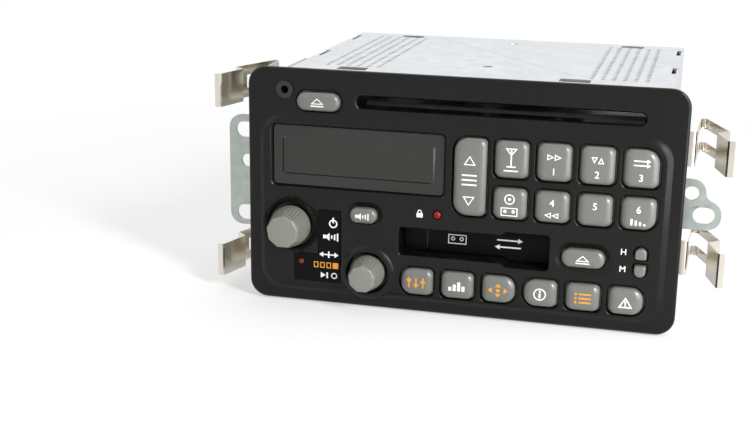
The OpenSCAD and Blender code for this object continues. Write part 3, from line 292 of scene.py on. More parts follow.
def mend():
    """Opens the active piece for editing and merges points that a cut left a few micrometres apart."""
    apart = 0.004 * MM
    bpy.ops.object.mode_set(mode="EDIT")
    bpy.ops.mesh.select_all(action="SELECT")
    # a cut leaves its points in any order, and which of two points stays depends on it
    bpy.ops.mesh.sort_elements(type="CURSOR_DISTANCE", elements={"VERT", "EDGE", "FACE"})
    bpy.ops.mesh.remove_doubles(threshold=apart)
    bpy.ops.mesh.dissolve_degenerate(threshold=apart)


def sheet(name, x, z, width, height, corners, depth, steps=6):
    """Flat sheet facing the viewer, left in edit mode; steps round all corners alike or one by one."""
    middle = on_face(x, z, depth)
    clear_selection()
    bpy.ops.mesh.primitive_plane_add(size=1, location=middle, rotation=UPRIGHT)
    bpy.context.object.scale = (width * MM, height * MM, 1)
    piece = start(name)
    counts = steps if isinstance(steps, tuple) else (steps,) * 4
    for (side, up), radius, count in zip(((-1, 1), (1, 1), (1, -1), (-1, -1)), corners, counts):
        if radius:
            pick("VERT", lambda v: (v.co.x - middle.x) * side > 0 and (v.co.z - middle.z) * up > 0)
            bpy.ops.mesh.bevel(offset=radius * MM, segments=count, affect="VERTICES")
    pick("FACE")
    return piece


def pull(distance, grow=(1, 1), centre=None):
    """Extrudes the selection back by a distance in millimetres, and resizes its far end about a centre."""
    bpy.ops.mesh.extrude_region_move(TRANSFORM_OT_translate={"value": (0, distance * MM, 0)})
    if centre:
        bpy.ops.transform.resize(value=(grow[0], 1, grow[1]), center_override=centre)


def flange(x, z, width, height, reach, thick):
    """Ends the open piece behind the bezel in a flange, which reaches out on each side."""
    grow = ((width + 2 * reach) / width, (height + 2 * reach) / height)
    pull(0, grow, on_face(x, z, FLANGE_DEPTH))
    pull(thick)


def carry(x, z, width, height, rings):
    """Carries the open sheet through rings of a depth and a growth on each side, and closes it."""
    for (depth, grown), (to, growth) in zip(rings, rings[1:]):
        across, upright = ((size + 2 * growth) / (size + 2 * grown) for size in (width, height))
        pull(to - depth, (across, upright), on_face(x, z, to))
    if any(growth for _, growth in rings):
        # sides that flare aren't flat, so they are cut into triangles
        pick("FACE")
        bpy.ops.mesh.quads_convert_to_tris()
    return close()


def block(name, x, z, width, height, corners, rings, steps=6):
    """Rounded block through rings of a depth and a growth on each side."""
    sheet(name, x, z, width, height, corners, rings[0][0], steps)
    return carry(x, z, width, height, rings)


def ring(x, z, depth, radius, sides, fill="NOTHING"):
    """Adds a ring with a number of sides, facing the viewer, open or filled."""
    place = on_face(x, z, depth)
    bpy.ops.mesh.primitive_circle_add(
        vertices=sides, radius=radius * MM, fill_type=fill, location=place, rotation=UPRIGHT
    )


def drum(name, x, z, radius, rings):
    """Round block through rings of a depth and a growth in radius."""
    clear_selection()
    ring(x, z, rings[0][0], radius, 72, "NGON")
    start(name)
    pick("FACE")
    return carry(x, z, 2 * radius, 2 * radius, rings)


def barrel(name, x, z, width, middle_height, end_height, rings):
    """Block with round ends and gently bowed long sides, through rings of a depth and a growth."""
    centre = on_face(x, z, rings[0][0])
    # the bow's bevel takes its peak down again, so the peak starts higher
    peak = 1.6 * (middle_height - end_height) / 2
    bow, end = 0.34 * width, 0.46 * end_height
    sheet(name, x, z, width, end_height, SQUARE, rings[0][0])
    for up in (-1, 1):
        pick("EDGE", lambda e: all((v.co.z - centre.z) * up > 0 for v in e.verts))
        bpy.ops.mesh.subdivide(number_cuts=1)
        pick("VERT", lambda v: abs(v.co.x - centre.x) < 10 * NEAR and (v.co.z - centre.z) * up > 0)
        bpy.ops.transform.translate(value=(0, 0, up * peak * MM))
        bpy.ops.mesh.bevel(offset=bow * MM, segments=10, affect="VERTICES")
    for side, up in ((-1, -1), (-1, 1), (1, -1), (1, 1)):
        edge = 0.49 * width * MM
        pick("VERT", lambda v: (v.co.x - centre.x) * side > edge and (v.co.z - centre.z) * up > 0)
        bpy.ops.mesh.bevel(offset=end * MM, segments=6, affect="VERTICES")
    pick("FACE")
    return carry(x, z, width, middle_height, rings)


def combine(piece, operation, tools):
    """Joins the tools into one, which is added to a piece, cut away from it or cut to what both share."""
    activate(tools[0])
    for tool in tools[1:]:
        tool.select_set(True)
    if len(tools) > 1:
        bpy.ops.object.join()
    joined = bpy.context.object
    activate(piece)
    change = piece.modifiers.new("Combine", "BOOLEAN")
    change.operation = operation
    change.solver = "EXACT"
    change.object = joined
    bpy.ops.object.modifier_apply(modifier=change.name)
    mesh = joined.data
    bpy.data.objects.remove(joined)
    bpy.data.meshes.remove(mesh)


def soften(piece, width):
    """Rounds the sharp edges of a finished piece."""
    activate(piece)
    mend()
    pick("FACE")
    bpy.ops.mesh.quads_convert_to_tris()
    bpy.ops.object.mode_set(mode="OBJECT")
    change = piece.modifiers.new("Edges", "BEVEL")
    change.width = width
    change.segments = 3
    change.limit_method = "ANGLE"
    change.angle_limit = math.radians(40)
    change.use_clamp_overlap = False
    change.loop_slide = False
    bpy.ops.object.modifier_apply(modifier=change.name)
    bpy.ops.object.shade_smooth_by_angle(angle=math.radians(50))
    weigh(piece)


def weigh(piece):
    """Keeps flat faces flat in the shading, next to narrow ones."""
    change = piece.modifiers.new("Normals", "WEIGHTED_NORMAL")
    change.keep_sharp = True
    bpy.ops.object.modifier_apply(modifier=change.name)


def coat(piece, finish):
    """Gives a piece its finish."""
    piece.data.materials.clear()
    piece.data.materials.append(bpy.data.materials[finish])


def dress(piece, node, finish, replace=True):
    """Gives a piece its finish, and lets it ride with a node, which it may stand for."""
    coat(piece, finish)
    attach(piece, frame["nodes"][node]["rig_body"])
    if replace:
        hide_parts(node)


# Legends


def mark(shape, x, y, width, height, stroke=0.0, lift=0.0):
    """Adds one flat sign to the piece in edit mode: a triangle, box or round, filled or as a line."""
    sides = {"box": 4, "round": 28}.get(shape, 3)
    aim = {"left": 90, "right": -90, "down": 180, "box": 45}.get(shape, 0)
    bpy.ops.mesh.primitive_circle_add(
        vertices=sides, radius=0.5, fill_type="NGON", rotation=(0, 0, math.radians(aim))
    )
    size = Vector((width, height)) * MM
    # reach of the primitive across and upright
    across = {4: Vector((0.7071, 0.7071)), 28: Vector((1, 1))}.get(sides, Vector((0.866, 0.75)))
    if shape in ("left", "right"):
        across = Vector((across.y, across.x))
    # a triangle's middle is a sixth of its height off the point that it is drawn round
    shift = {"up": (0, -1), "down": (0, 1), "left": (1, 0), "right": (-1, 0)}.get(shape, (0, 0))
    bpy.ops.transform.resize(value=(size.x / across.x, size.y / across.y, 1), center_override=(0, 0, 0))
    place = (x * MM + shift[0] * size.x / 6, y * MM + shift[1] * size.y / 6, lift)
    bpy.ops.transform.translate(value=place)
    if stroke:
        bpy.ops.mesh.inset(thickness=stroke * MM)
        bpy.ops.mesh.delete(type="FACE")


def place_legend(name, node, finish, x, z, depth):
    """Lays the drawn legend on its surface and lets it ride with what carries it."""
    piece = bpy.context.object
    piece.name = piece.data.name = name
    piece.rotation_euler = UPRIGHT
    piece.location = on_face(x, z, depth)
    bpy.ops.object.transform_apply(location=True, rotation=True, scale=True)
    dress(piece, node, finish, replace=False)


def legend(name, node, finish, x, z, depth, marks):
    """Printed signs in one ink on a key, panel or flap."""
    clear_selection()
    bpy.ops.mesh.primitive_plane_add(size=MM)
    bpy.ops.object.mode_set(mode="EDIT")
    bpy.ops.mesh.select_all(action="SELECT")
    bpy.ops.mesh.delete(type="VERT")
    bpy.ops.mesh.select_mode(type="FACE")
    # where signs cross, each lies a little above the last
    rise = 0.006 * MM
    for count, sign in enumerate(marks):
        mark(*sign, lift=count * rise)
    bpy.ops.mesh.select_all(action="SELECT")
    ink = bpy.context.scene.radio_sizes.ink
    bpy.ops.mesh.extrude_region_move(TRANSFORM_OT_translate={"value": (0, 0, ink)})
    bpy.ops.mesh.select_all(action="SELECT")
    bpy.ops.mesh.normals_make_consistent(inside=False)
    bpy.ops.object.mode_set(mode="OBJECT")
    place_legend(name, node, finish, x, z, depth)


def figure(name, node, finish, body, x, z, depth, height):
    """Printed figure or letter of a given height on a key or the bezel."""
    size_of_height, bolder = 1.38, 0.04
    clear_selection()
    bpy.ops.object.text_add()
    text = bpy.context.object.data
    text.body = body
    text.size = height * MM * size_of_height
    text.align_x = "CENTER"
    text.align_y = "CENTER"
    text.resolution_u = 4
    text.offset = bolder * MM
    text.extrude = bpy.context.scene.radio_sizes.ink
    bpy.ops.object.convert(target="MESH")
    place_legend(name, node, finish, x, z, depth)


# Materials

# Noise mostly lies between these values
LOW, HIGH = 0.3, 0.7


def add(material, kind, values=None, links=None, into=None, **settings):
    """Adds a node to a material, with its values, its settings and its links."""
    made = material.node_tree.nodes.new(kind)
    for name, value in settings.items():
        setattr(made, name, value)
    for socket, value in (values or {}).items():
        made.inputs[socket].default_value = value
    for socket, source in (links or {}).items():
        material.node_tree.links.new(source, made.inputs[socket])
    for socket, target in (into or {}).items():
        material.node_tree.links.new(made.outputs[socket], target)
    return made


def surface(name, colour, roughness, metallic=0.0, **more):
    """New material with one principled shader, its sockets and its object coordinates."""
    material = bpy.data.materials.new(name)
    material.use_nodes = True
    shader = material.node_tree.nodes["Principled BSDF"]
    shader.inputs["Base Color"].default_value = (*colour, 1)
    shader.inputs["Roughness"].default_value = roughness
    shader.inputs["Metallic"].default_value = metallic
    for socket, value in more.items():
        shader.inputs[socket.replace("_", " ")].default_value = value
    place = add(material, "ShaderNodeTexCoord").outputs["Object"]
    return material, shader.inputs, place


def scaled(colour, factor):
    """Lighter or darker shade of a colour."""
    return (*[min(1.0, c * factor) for c in colour], 1)


def varied(made, colour, shades, size_mm, detail=2.0):
    """Patches of a given size between two shades of a surface's colour."""
    material, sockets, place = made
    pattern = {"Scale": 1 / (size_mm * MM), "Detail": detail}
    patches = add(material, "ShaderNodeTexNoise", pattern, {"Vector": place})
    target = {"Color": sockets["Base Color"]}
    ramp = add(material, "ShaderNodeValToRGB", links={"Fac": patches.outputs["Fac"]}, into=target)
    for stop, position, shade in zip(ramp.color_ramp.elements, (LOW, HIGH), shades):
        stop.position = position
        stop.color = scaled(colour, shade)


def worn(made, low, high, size_mm, detail):
    """Patches of a given size between two roughnesses of a surface."""
    material, sockets, place = made
    pattern = {"Scale": 1 / (size_mm * MM), "Detail": detail}
    patches = add(material, "ShaderNodeTexNoise", pattern, {"Vector": place})
    span = {"From Min": LOW, "From Max": HIGH, "To Min": low, "To Max": high}
    target = {"Result": sockets["Roughness"]}
    add(material, "ShaderNodeMapRange", span, {"Value": patches.outputs["Fac"]}, target)


def bumped(made, size_mm, depth_mm, strength):
    """Fine relief of a given grain size and depth on a surface."""
    material, sockets, place = made
    pattern = {"Scale": 1 / (size_mm * MM), "Detail": 2}
    grain = add(material, "ShaderNodeTexNoise", pattern, {"Vector": place})
    relief = {"Strength": strength, "Distance": depth_mm * MM}
    add(material, "ShaderNodeBump", relief, {"Height": grain.outputs["Fac"]}, {"Normal": sockets["Normal"]})


def moulded(name, colour, roughness, grain_mm, relief, specular=0.5):
    """Injection-moulded plastic: an even colour, broken by a spark-eroded grain and by handling shine."""
    made = surface(name, colour, roughness, Specular_IOR_Level=specular)
    varied(made, colour, (0.86, 1.14), 7)
    worn(made, roughness - 0.05, roughness + 0.06, 14, 4)
    # the true grain of about 0.1 mm is finer than a pixel, so it is drawn coarser
    bumped(made, grain_mm, 0.05, relief)


def painted(name, colour):
    """Satin paint with a fine metallic fleck over moulded plastic."""
    made = surface(name, colour, 0.34, Coat_Weight=0.5, Coat_Roughness=0.14)
    # flecks of about 0.05 mm are drawn at 0.3 mm, so that they show
    varied(made, colour, (0.86, 1.12), 0.3, 3)
    worn(made, 0.3, 0.4, 6, 3)
    bumped(made, 0.35, 0.03, 0.25)


def glossy(name, colour, roughness, haze):
    """Polished plastic or glass: a smooth gloss with faint wiping haze."""
    made = surface(name, colour, roughness, IOR=1.49)
    varied(made, colour, (0.9, 1.1), 25)
    worn(made, roughness, roughness + haze, 9, 6)


def plated(name, colour, roughness, spangle_mm, contrast):
    """Bare or plated metal: crystals differ a little in tone and gloss, and rolling leaves faint lines."""
    material, sockets, place = surface(name, colour, roughness, metallic=1.0)
    cells = add(material, "ShaderNodeTexVoronoi", {"Scale": 1 / (spangle_mm * MM)}, {"Vector": place})
    tone = add(material, "ShaderNodeSeparateColor", links={"Color": cells.outputs["Color"]}).outputs
    target = {"Color": sockets["Base Color"]}
    ramp = add(material, "ShaderNodeValToRGB", links={"Fac": tone["Red"]}, into=target)
    for stop, shade in zip(ramp.color_ramp.elements, (1 - contrast, 1 + contrast)):
        stop.color = scaled(colour, shade)
    span = {"From Min": LOW, "From Max": HIGH, "To Min": roughness - 0.03, "To Max": roughness + 0.04}
    add(material, "ShaderNodeMapRange", span, {"Value": tone["Green"]}, {"Result": sockets["Roughness"]})
    # lines half a millimetre wide are drawn out from front to back
    along = add(material, "ShaderNodeMapping", {"Scale": (1, 0.04, 1)}, {"Vector": place}).outputs["Vector"]
    rolling = add(material, "ShaderNodeTexNoise", {"Scale": 1 / (0.5 * MM), "Detail": 3}, {"Vector": along})
    relief = {"Strength": 0.03, "Distance": 0.02 * MM}
    lines = {"Height": rolling.outputs["Fac"]}
    add(material, "ShaderNodeBump", relief, lines, {"Normal": sockets["Normal"]})


def lamp(name, colour):
    """Tinted epoxy of a lamp: clear at its skin, deeper inside."""
    varied(surface(name, colour, 0.16, Specular_IOR_Level=0.3), colour, (0.8, 1.15), 2.4)


def printed(name, colour):
    """Screen-printed ink: flat, with a slightly uneven film."""
    varied(surface(name, colour, 0.55), colour, (0.93, 1.03), 0.5)


def circuit(name):
    """Circuit board: green solder mask over copper tracks."""
    material, sockets, place = surface(name, linear("#24503a"), 0.35, IOR=1.5)
    greens = {"Color1": "#2c6144", "Color2": "#275a3e", "Mortar": "#1b3f2d"}
    pattern = {socket: (*linear(code), 1) for socket, code in greens.items()}
    # tracks are a quarter of the pattern's 4 mm, so about 1 mm wide
    pattern.update({"Scale": 1 / (4 * MM), "Mortar Size": 0.06})
    target = {"Color": sockets["Base Color"]}
    tracks = add(material, "ShaderNodeTexBrick", pattern, {"Vector": place}, target)
    relief = {"Strength": 0.2, "Distance": 0.05 * MM}
    gaps = {"Height": tracks.outputs["Fac"]}
    add(material, "ShaderNodeBump", relief, gaps, {"Normal": sockets["Normal"]})


def seen(material):
    """Value that is 1 for rays from the camera, off gloss and through glass, and 0 for other light."""
    path = add(material, "ShaderNodeLightPath").outputs
    value = path["Is Camera Ray"]
    for ray in ("Is Glossy Ray", "Is Transmission Ray"):
        either = add(material, "ShaderNodeMath", links={0: value, 1: path[ray]}, operation="MAXIMUM")
        value = either.outputs["Value"]
    return value


class RADIO_OT_finishes(bpy.types.Operator):
    """Make the finishes and give them to the nodes that stay"""

    bl_idname = "radio.finishes"
    bl_label = "Finishes"

    # finish, slot and the nodes that have them
    coats = [
        ("matt_black_panel", "legend_black", ["legend_panel", "tape_door"]),
        ("red_lamp_epoxy", "lamp_red", ["red_lamp"]),
        ("amber_lamp_epoxy", "lamp_amber", ["amber_lamp"]),
        ("black_nylon", "dark_plastic", ["aux_jack", "key_switches", "encoder_cups", "wiring_socket"]),
        ("black_nylon", "dark_plastic", ["turntable", "optical_sled"]),
        ("display_glass", "display_glass", ["display_panel"]),
        ("circuit_board", "board_green", ["front_board", "main_board"]),
        ("galvanised_steel", "galvanised", ["front_plate", "chassis_frame", "top_cover", "bottom_cover"]),
        ("zinc_plated_steel", "zinc_plate", ["left_bracket", "right_bracket"]),
        ("zinc_plated_steel", "deck_steel", ["disc_deck", "spindle_motor", "tape_deck"]),
        ("nickel_plated_spring_steel", "spring_steel", ["spring_clips"]),
        ("nickel_plated_spring_steel", "shaft_steel", ["bracket_screws", "aerial_socket", "sled_screw"]),
        ("nickel_plated_spring_steel", "shaft_steel", ["volume_shaft", "tune_shaft"]),
        ("extruded_aluminium", "sink_alloy", ["heat_sink"]),
        ("roller_rubber", "roller_rubber", ["loading_roller"]),
        ("plated_brass", "flywheel_brass", ["front_flywheel", "rear_flywheel"]),
        ("ivory_acetal", "hub_plastic", ["front_reel_hub", "rear_reel_hub", "volume_rotor", "tune_rotor"]),
    ]

    def execute(self, context):
        tints = context.scene.radio_colours
        self.plastics(tints)
        self.metals(tints)
        lamp("red_lamp_epoxy", linear("#7c0910"))
        lamp("amber_lamp_epoxy", linear("#64290f"))
        printed("white_legend_ink", tints.ink_white)
        printed("orange_legend_ink", tints.ink_orange)
        circuit("circuit_board")
        for finish, slot, nodes in self.coats:
            for node in nodes:
                coat(frame["nodes"][node], finish)
        return {"FINISHED"}

    def plastics(self, tints):
        """Moulded, painted and polished plastics, the display's glass and the roller's rubber."""
        # semi-gloss face, which mirrors the room softly
        moulded("black_moulded_abs", tints.bezel, 0.24, 0.5, 0.14, 0.25)
        moulded("matt_black_panel", tints.panel, 0.42, 0.4, 0.1, 0.1)
        painted("satin_grey_key_paint", tints.keys)
        painted("satin_grey_knob_paint", tints.knobs)
        glossy("smoked_acrylic", tints.lens, 0.16, 0.1)
        glossy("display_glass", linear("#20302e"), 0.1, 0.1)
        # inner parts: dull nylon, waxy acetal and dry rubber
        moulded("black_nylon", linear("#1c1c1d"), 0.4, 0.4, 0.2)
        moulded("ivory_acetal", linear("#d9d6cc"), 0.45, 0.5, 0.15)
        moulded("roller_rubber", linear("#39393a"), 0.7, 0.4, 0.5)

    def metals(self, tints):
        """Plated steels of chassis, ears and clips, the heat sink's aluminium and the flywheels' brass."""
        # pale sheet with hardly visible spangle
        plated("galvanised_steel", tints.sheet, 0.4, 6, 0.02)
        # greyer and blotchy
        plated("zinc_plated_steel", tints.ears, 0.4, 3, 0.06)
        # bright, with a warm cast
        plated("nickel_plated_spring_steel", tints.clips, 0.2, 8, 0.03)
        plated("extruded_aluminium", linear("#9ea2a5"), 0.42, 2, 0.04)
        plated("plated_brass", linear("#b3a88c"), 0.3, 4, 0.04)


class RADIO_OT_bezel(bpy.types.Operator):
    """Model the moulded bezel, with its raised field, wells, mouths and snap arms"""

    bl_idname = "radio.bezel"
    bl_label = "Front bezel"

    # a cut reaches from behind the front wall to well before the field
    behind, before = 2, -6
    # cassette mouth with its rounded lip, as depths and growths
    mouth = [(16, 0), (-0.6, 0), (-1.02, 0.15), (-1.3, 0.42), (-1.42, 0.85), (before, 0.85)]
    mouth_corners = (1.6,) * 4
    arms_x = (-59.5, 44.5)
    red_radius, amber_radius, jack_radius, shaft_radius = 2.0, 1.6, 3.2, 3.4

    def execute(self, context):
        sizes = context.scene.radio_sizes
        wall = sizes.wall / MM
        bezel = self.rim(sizes, wall)
        self.additions(bezel, wall)
        combine(bezel, "DIFFERENCE", self.holes(wall, sizes.key_gap / MM))
        # cuts that meet other cuts come one at a time
        for cut in self.recesses(wall):
            combine(bezel, "DIFFERENCE", [cut])
        soften(bezel, sizes.lip)
        dress(bezel, "front_bezel", "black_moulded_abs")
        return {"FINISHED"}

    def rim(self, sizes, wall):
        """Tray with a rounded front edge, leaning in towards the back at its top and sides."""
        width, height, corner = sizes.face_width / MM, sizes.face_height / MM, sizes.face_corner / MM
        depth, lean, edge = sizes.bezel_depth / MM, sizes.bezel_lean / MM, sizes.face_edge / MM
        # the face has its full size where the rounded edge ends, so the front starts wider
        spare = lean * edge / depth
        wide, high = width + 2 * spare, height + spare
        bezel = sheet("front_bezel_moulding", 0, spare / 2, wide, high, (corner,) * 4, 0, 10)
        low = on_face(0, -height / 2, depth)
        pull(depth, ((width - 2 * lean) / wide, (height - lean) / high), low)
        faces_at(depth)
        bpy.ops.mesh.inset(thickness=wall * MM)
        pull(wall - depth)
        edges_at(0)
        bpy.ops.mesh.bevel(offset=edge * MM, segments=6)
        close()
        return bezel

    def additions(self, bezel, wall):
        """Raised control field with its soft slope, tune collar, guides behind the mouths and snap arms."""
        slope = [(0.12, 0), (-0.1, -0.8), (-0.4, -1.4), (-0.85, -2.05)]
        slope += [(-1.2, -2.7), (-1.36, -3.2), (FIELD_DEPTH, -3.8)]
        field = block("field", *FIELD_AT, *FIELD_SIZE, (FIELD_CORNER,) * 4, slope, 10)
        combine(bezel, "UNION", [field])
        bowl = [(0.4, 0), (-1.35, 0), (-1.75, -0.5), (-2.2, -1.15), (-2.6, -1.85), (-2.8, -2.7)]
        collar_radius = 12.9
        combine(bezel, "UNION", [drum("collar", *TUNE_AT, collar_radius, bowl)])
        disc_wall, tape_wall, inside = 1.2, 1.4, wall - 0.4
        disc = [size + 2 * disc_wall for size in SLOT_SIZE]
        tape = [size + 2 * tape_wall for size in (TAPE_SIZE[0], TAPE_END[1])]
        guides = [
            barrel("disc_guide", *SLOT_AT, *disc, [(9.5, 0), (inside, 0)]),
            block("tape_guide", *TAPE_AT, *tape, EVEN, [(12.6, 0), (inside, 0)]),
        ]
        combine(bezel, "UNION", guides)
        for x in self.arms_x:
            combine(bezel, "UNION", [self.arm(x, True), self.arm(x, False)])

    def holes(self, wall, key_gap):
        """Key holes, two of them dished, mouths with their lips, knob wells, window and lamp holes."""
        back, before = wall + self.behind, self.before
        through = [(back, 0), (before, 0)]
        round_lip = [(0.9, 0), (0.5, 0.09), (0.24, 0.28), (0.07, 0.56), (-0.02, 0.95), (-4, 0.95)]
        dish = [(back, 0), (-0.2, 0), (-0.35, 0.8), (-0.7, 1.6), (-1.1, 2.4)]
        dish += [(-1.36, 3.3), (-1.44, 4.3), (before, 4.3)]
        lip = [(12, 0), (1.8, 0), (1.1, 0.2), (0.6, 0.5), (0.25, 0.95), (0, 1.5), (-0.15, 2.2), (-4, 2.2)]
        window_lip = [(back, 0), (0.6, 0), (-0.4, 0.35), (-0.95, 0.7), (-1.25, 1.05)]
        window_lip += [(-1.42, 1.5), (before, 1.5)]
        holes = []
        for node, x, z, width, height, corners in KEYS:
            gap = key_gap * share(node, 0.75, 0.5)
            level = 0 if node == "disc_eject_key" else FIELD_DEPTH
            rings = through[:1] + [(level + depth, growth) for depth, growth in round_lip]
            if node in DISHED:
                rings = dish
            holes.append(
                block("hole", x, z, width + 2 * gap, height + 2 * gap, [c + gap for c in corners], rings)
            )
        lens_gap, knob_gap = 0.2, 1.5
        window = [size + 2 * lens_gap for size in LENS_SIZE]
        flared = [(1.6, 0), (0.1, 0), (-1.6, 3.3), (before, 3.3)]
        return holes + [
            barrel("disc_mouth", *SLOT_AT, *SLOT_SIZE, lip),
            block("tape_mouth", *TAPE_AT, *TAPE_SIZE, self.mouth_corners, self.mouth),
            block("window", *LENS_AT, *window, PLAIN, window_lip),
            drum("volume_well", *VOLUME_AT, VOLUME_FOOT + knob_gap, flared),
            drum("tune_well", *TUNE_AT, TUNE_FOOT + knob_gap, [(1.6, 0), (before, 0)]),
            drum("red_hole", *RED_LAMP_AT, self.red_radius, through),
            drum("jack_hole", *JACK_AT, self.jack_radius, through),
        ]

    def recesses(self, wall):
        """Taller end of the cassette mouth, the panel's recess, and holes inside other cuts."""
        back = wall + self.behind
        recess = [(FIELD_DEPTH + 0.5, 0), (self.before, 0)]
        end_x = TAPE_AT[0] + (TAPE_SIZE[0] - TAPE_END[0]) / 2
        # one step makes a chamfer of each left corner
        steps = (1, 6, 6, 1)
        end = block("tape_end", end_x, TAPE_AT[1], *TAPE_END, self.mouth_corners, self.mouth, steps)
        panel = [block(*part, SQUARE, recess) for part in PANEL]
        bore = [(back, 0), (1, 0)]
        shafts = [drum("shaft_hole", *at, self.shaft_radius, bore) for at in (VOLUME_AT, TUNE_AT)]
        amber = drum("amber_hole", *AMBER_LAMP_AT, self.amber_radius, [(back, 0), (self.before, 0)])
        return [end, *panel, *shafts, amber]

    def arm(self, x, up):
        """Snap arm with its hook, reaching into a slot of the cover."""
        width, thick, tip, hook = 11, 1.6, 43.5, 36.6
        z, rise = (46.5, 1.1) if up else (-50.6, -2.4)
        outer = (FACE_Z + z + math.copysign(thick / 2, rise)) * MM
        block("arm", x, z, width, thick, SQUARE, [(tip, 0), (2.0, 0)])
        bpy.ops.object.mode_set(mode="EDIT")
        bpy.ops.mesh.select_all(action="SELECT")
        bpy.ops.mesh.bisect(plane_co=on_face(x, z, hook), plane_no=(0, 1, 0))

        def on_hook(face):
            middle = face.calc_center_median()
            return abs(middle.z - outer) < NEAR and middle.y > (FACE_Y + hook) * MM

        def at_tip(v):
            return abs(v.co.z - outer - rise * MM) < NEAR and v.co.y > (FACE_Y + tip - 0.1) * MM

        pick("FACE", on_hook)
        bpy.ops.mesh.extrude_region_move(TRANSFORM_OT_translate={"value": (0, 0, rise * MM)})
        # the hook slopes down to the tip
        pick("VERT", at_tip)
        bpy.ops.transform.translate(value=(0, 0, -rise * 0.9 * MM))
        return close()


class RADIO_OT_keys(bpy.types.Operator):
    """Model the push keys and the rocker as satin caps with pillowed edges"""

    bl_idname = "radio.keys"
    bl_label = "Keys"

    def execute(self, context):
        edge = context.scene.radio_sizes.key_edge / MM
        for key in KEYS:
            self.cap(*key, edge * share(key[0], 0.75, 0.3))
        return {"FINISHED"}

    def cap(self, node, x, z, width, height, corners, rounding):
        """Cap with the plan of the key, cut from a softer cushion, on a flange behind the bezel."""
        swell = 0.1
        front = key_front(node) + swell
        cap = block(f"{node}_cap", x, z, width, height, corners, [(FLANGE_DEPTH, 0), (front - 1, 0)], 8)
        # the cushion is wider, so that the cap keeps a short upright side
        spare = 0.1 + 0.13 * rounding
        wide, high = width + 2 * spare, height + 2 * spare
        sheet("cushion", x, z, wide, high, [max(c + spare, rounding + 0.2) for c in corners], front, 10)
        pull(FLANGE_DEPTH + 2 - front)
        edges_at(front)
        bpy.ops.mesh.bevel(offset=rounding * MM, segments=10)
        # slight crown on the flat middle
        faces_at(front)
        wide, high = wide - 2 * rounding, high - 2 * rounding
        inset = 0.3 * min(wide, high)
        pull(-swell, ((wide - inset) / wide, (high - inset) / high), on_face(x, z, front - swell))
        combine(cap, "INTERSECT", [close()])
        mend()
        faces_at(FLANGE_DEPTH)
        reach, thick = 0.4 if node == "seek_rocker" else 1.4, 1.2
        flange(x, z, width, height, reach, thick)
        close(40)
        dress(cap, node, "satin_grey_key_paint")


class RADIO_OT_knobs(bpy.types.Operator):
    """Model the two knobs, round at the foot and flat-sided at the tip"""

    bl_idname = "radio.knobs"
    bl_label = "Knobs"

    # sides that each flat is divided into, the upright skirt at the foot, and the tip's rounding and crown
    parts, skirt, rounding, swell = 8, 2, 0.7, 0.12
    # widening of a rib
    rib = 1.035

    def execute(self, context):
        flats = context.scene.radio_sizes.knob_flats
        for knob in KNOBS:
            self.knob(*knob, flats)
        return {"FINISHED"}

    def knob(self, node, x, z, foot, tip, flats):
        """Ribbed side from a flat-sided ring to a round one, with a skirt and a rounded, crowned tip."""
        low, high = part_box(node)
        front, base = low.y / MM - FACE_Y, high.y / MM - FACE_Y - self.skirt
        clear_selection()
        ring(x, z, front, tip, flats)
        knob = start(f"{node}_cap")
        bpy.ops.mesh.select_all(action="SELECT")
        bpy.ops.mesh.subdivide(number_cuts=self.parts - 1)
        sides = flats * self.parts
        ring(x, z, base, foot, sides)
        bpy.ops.mesh.select_mode(type="EDGE")
        bpy.ops.mesh.select_all(action="SELECT")
        bpy.ops.mesh.bridge_edge_loops(number_cuts=6, interpolation="LINEAR")
        self.ribs(x, z, front, base, 360 / sides)
        edges_at(front)
        bpy.ops.mesh.edge_face_add()
        edges_at(base)
        pull(self.skirt)
        bpy.ops.mesh.edge_face_add()
        edges_at(front)
        bpy.ops.mesh.bevel(offset=self.rounding * MM, segments=4)
        faces_at(front)
        pull(-self.swell, (0.7, 0.7), on_face(x, z, front - self.swell))
        # below the angle between ribs, so that they stay crisp
        close(25)
        dress(knob, node, "satin_grey_knob_paint")

    def ribs(self, x, z, front, base, step):
        """Raises every second line of the side into a fine rib that fades out at the tip and the foot."""
        axis = on_face(x, z, 0)

        def raised(v):
            turn = math.degrees(math.atan2(v.co.z - axis.z, v.co.x - axis.x)) - 90
            inside = front + 0.1 < v.co.y / MM - FACE_Y < base - 0.1
            return inside and round(turn / step) % 2 == 0

        pick("VERT", raised)
        bpy.ops.transform.resize(value=(self.rib, 1, self.rib), center_override=axis)


class RADIO_OT_display(bpy.types.Operator):
    """Model the smoked display lens with its raised middle"""

    bl_idname = "radio.display"
    bl_label = "Display lens"

    def execute(self, context):
        x, z = LENS_AT
        width, height = LENS_SIZE
        front, reach, thick = 0.6, 1.4, 1.1
        lens = sheet("display_lens_window", x, z, width, height, EVEN, front)
        pull(FLANGE_DEPTH - front)
        flange(x, z, width, height, reach, thick)
        # raised middle, with a sloped edge
        wide, high, slope, rise = width - 8.2, height - 9.6, 1.4, 0.5
        faces_at(front)
        pull(0, (wide / width, high / height), on_face(x, z, front))
        pull(-rise, ((wide - slope) / wide, (high - slope) / high), on_face(x, z, front - rise))
        close(25)
        dress(lens, "display_lens", "smoked_acrylic")
        return {"FINISHED"}


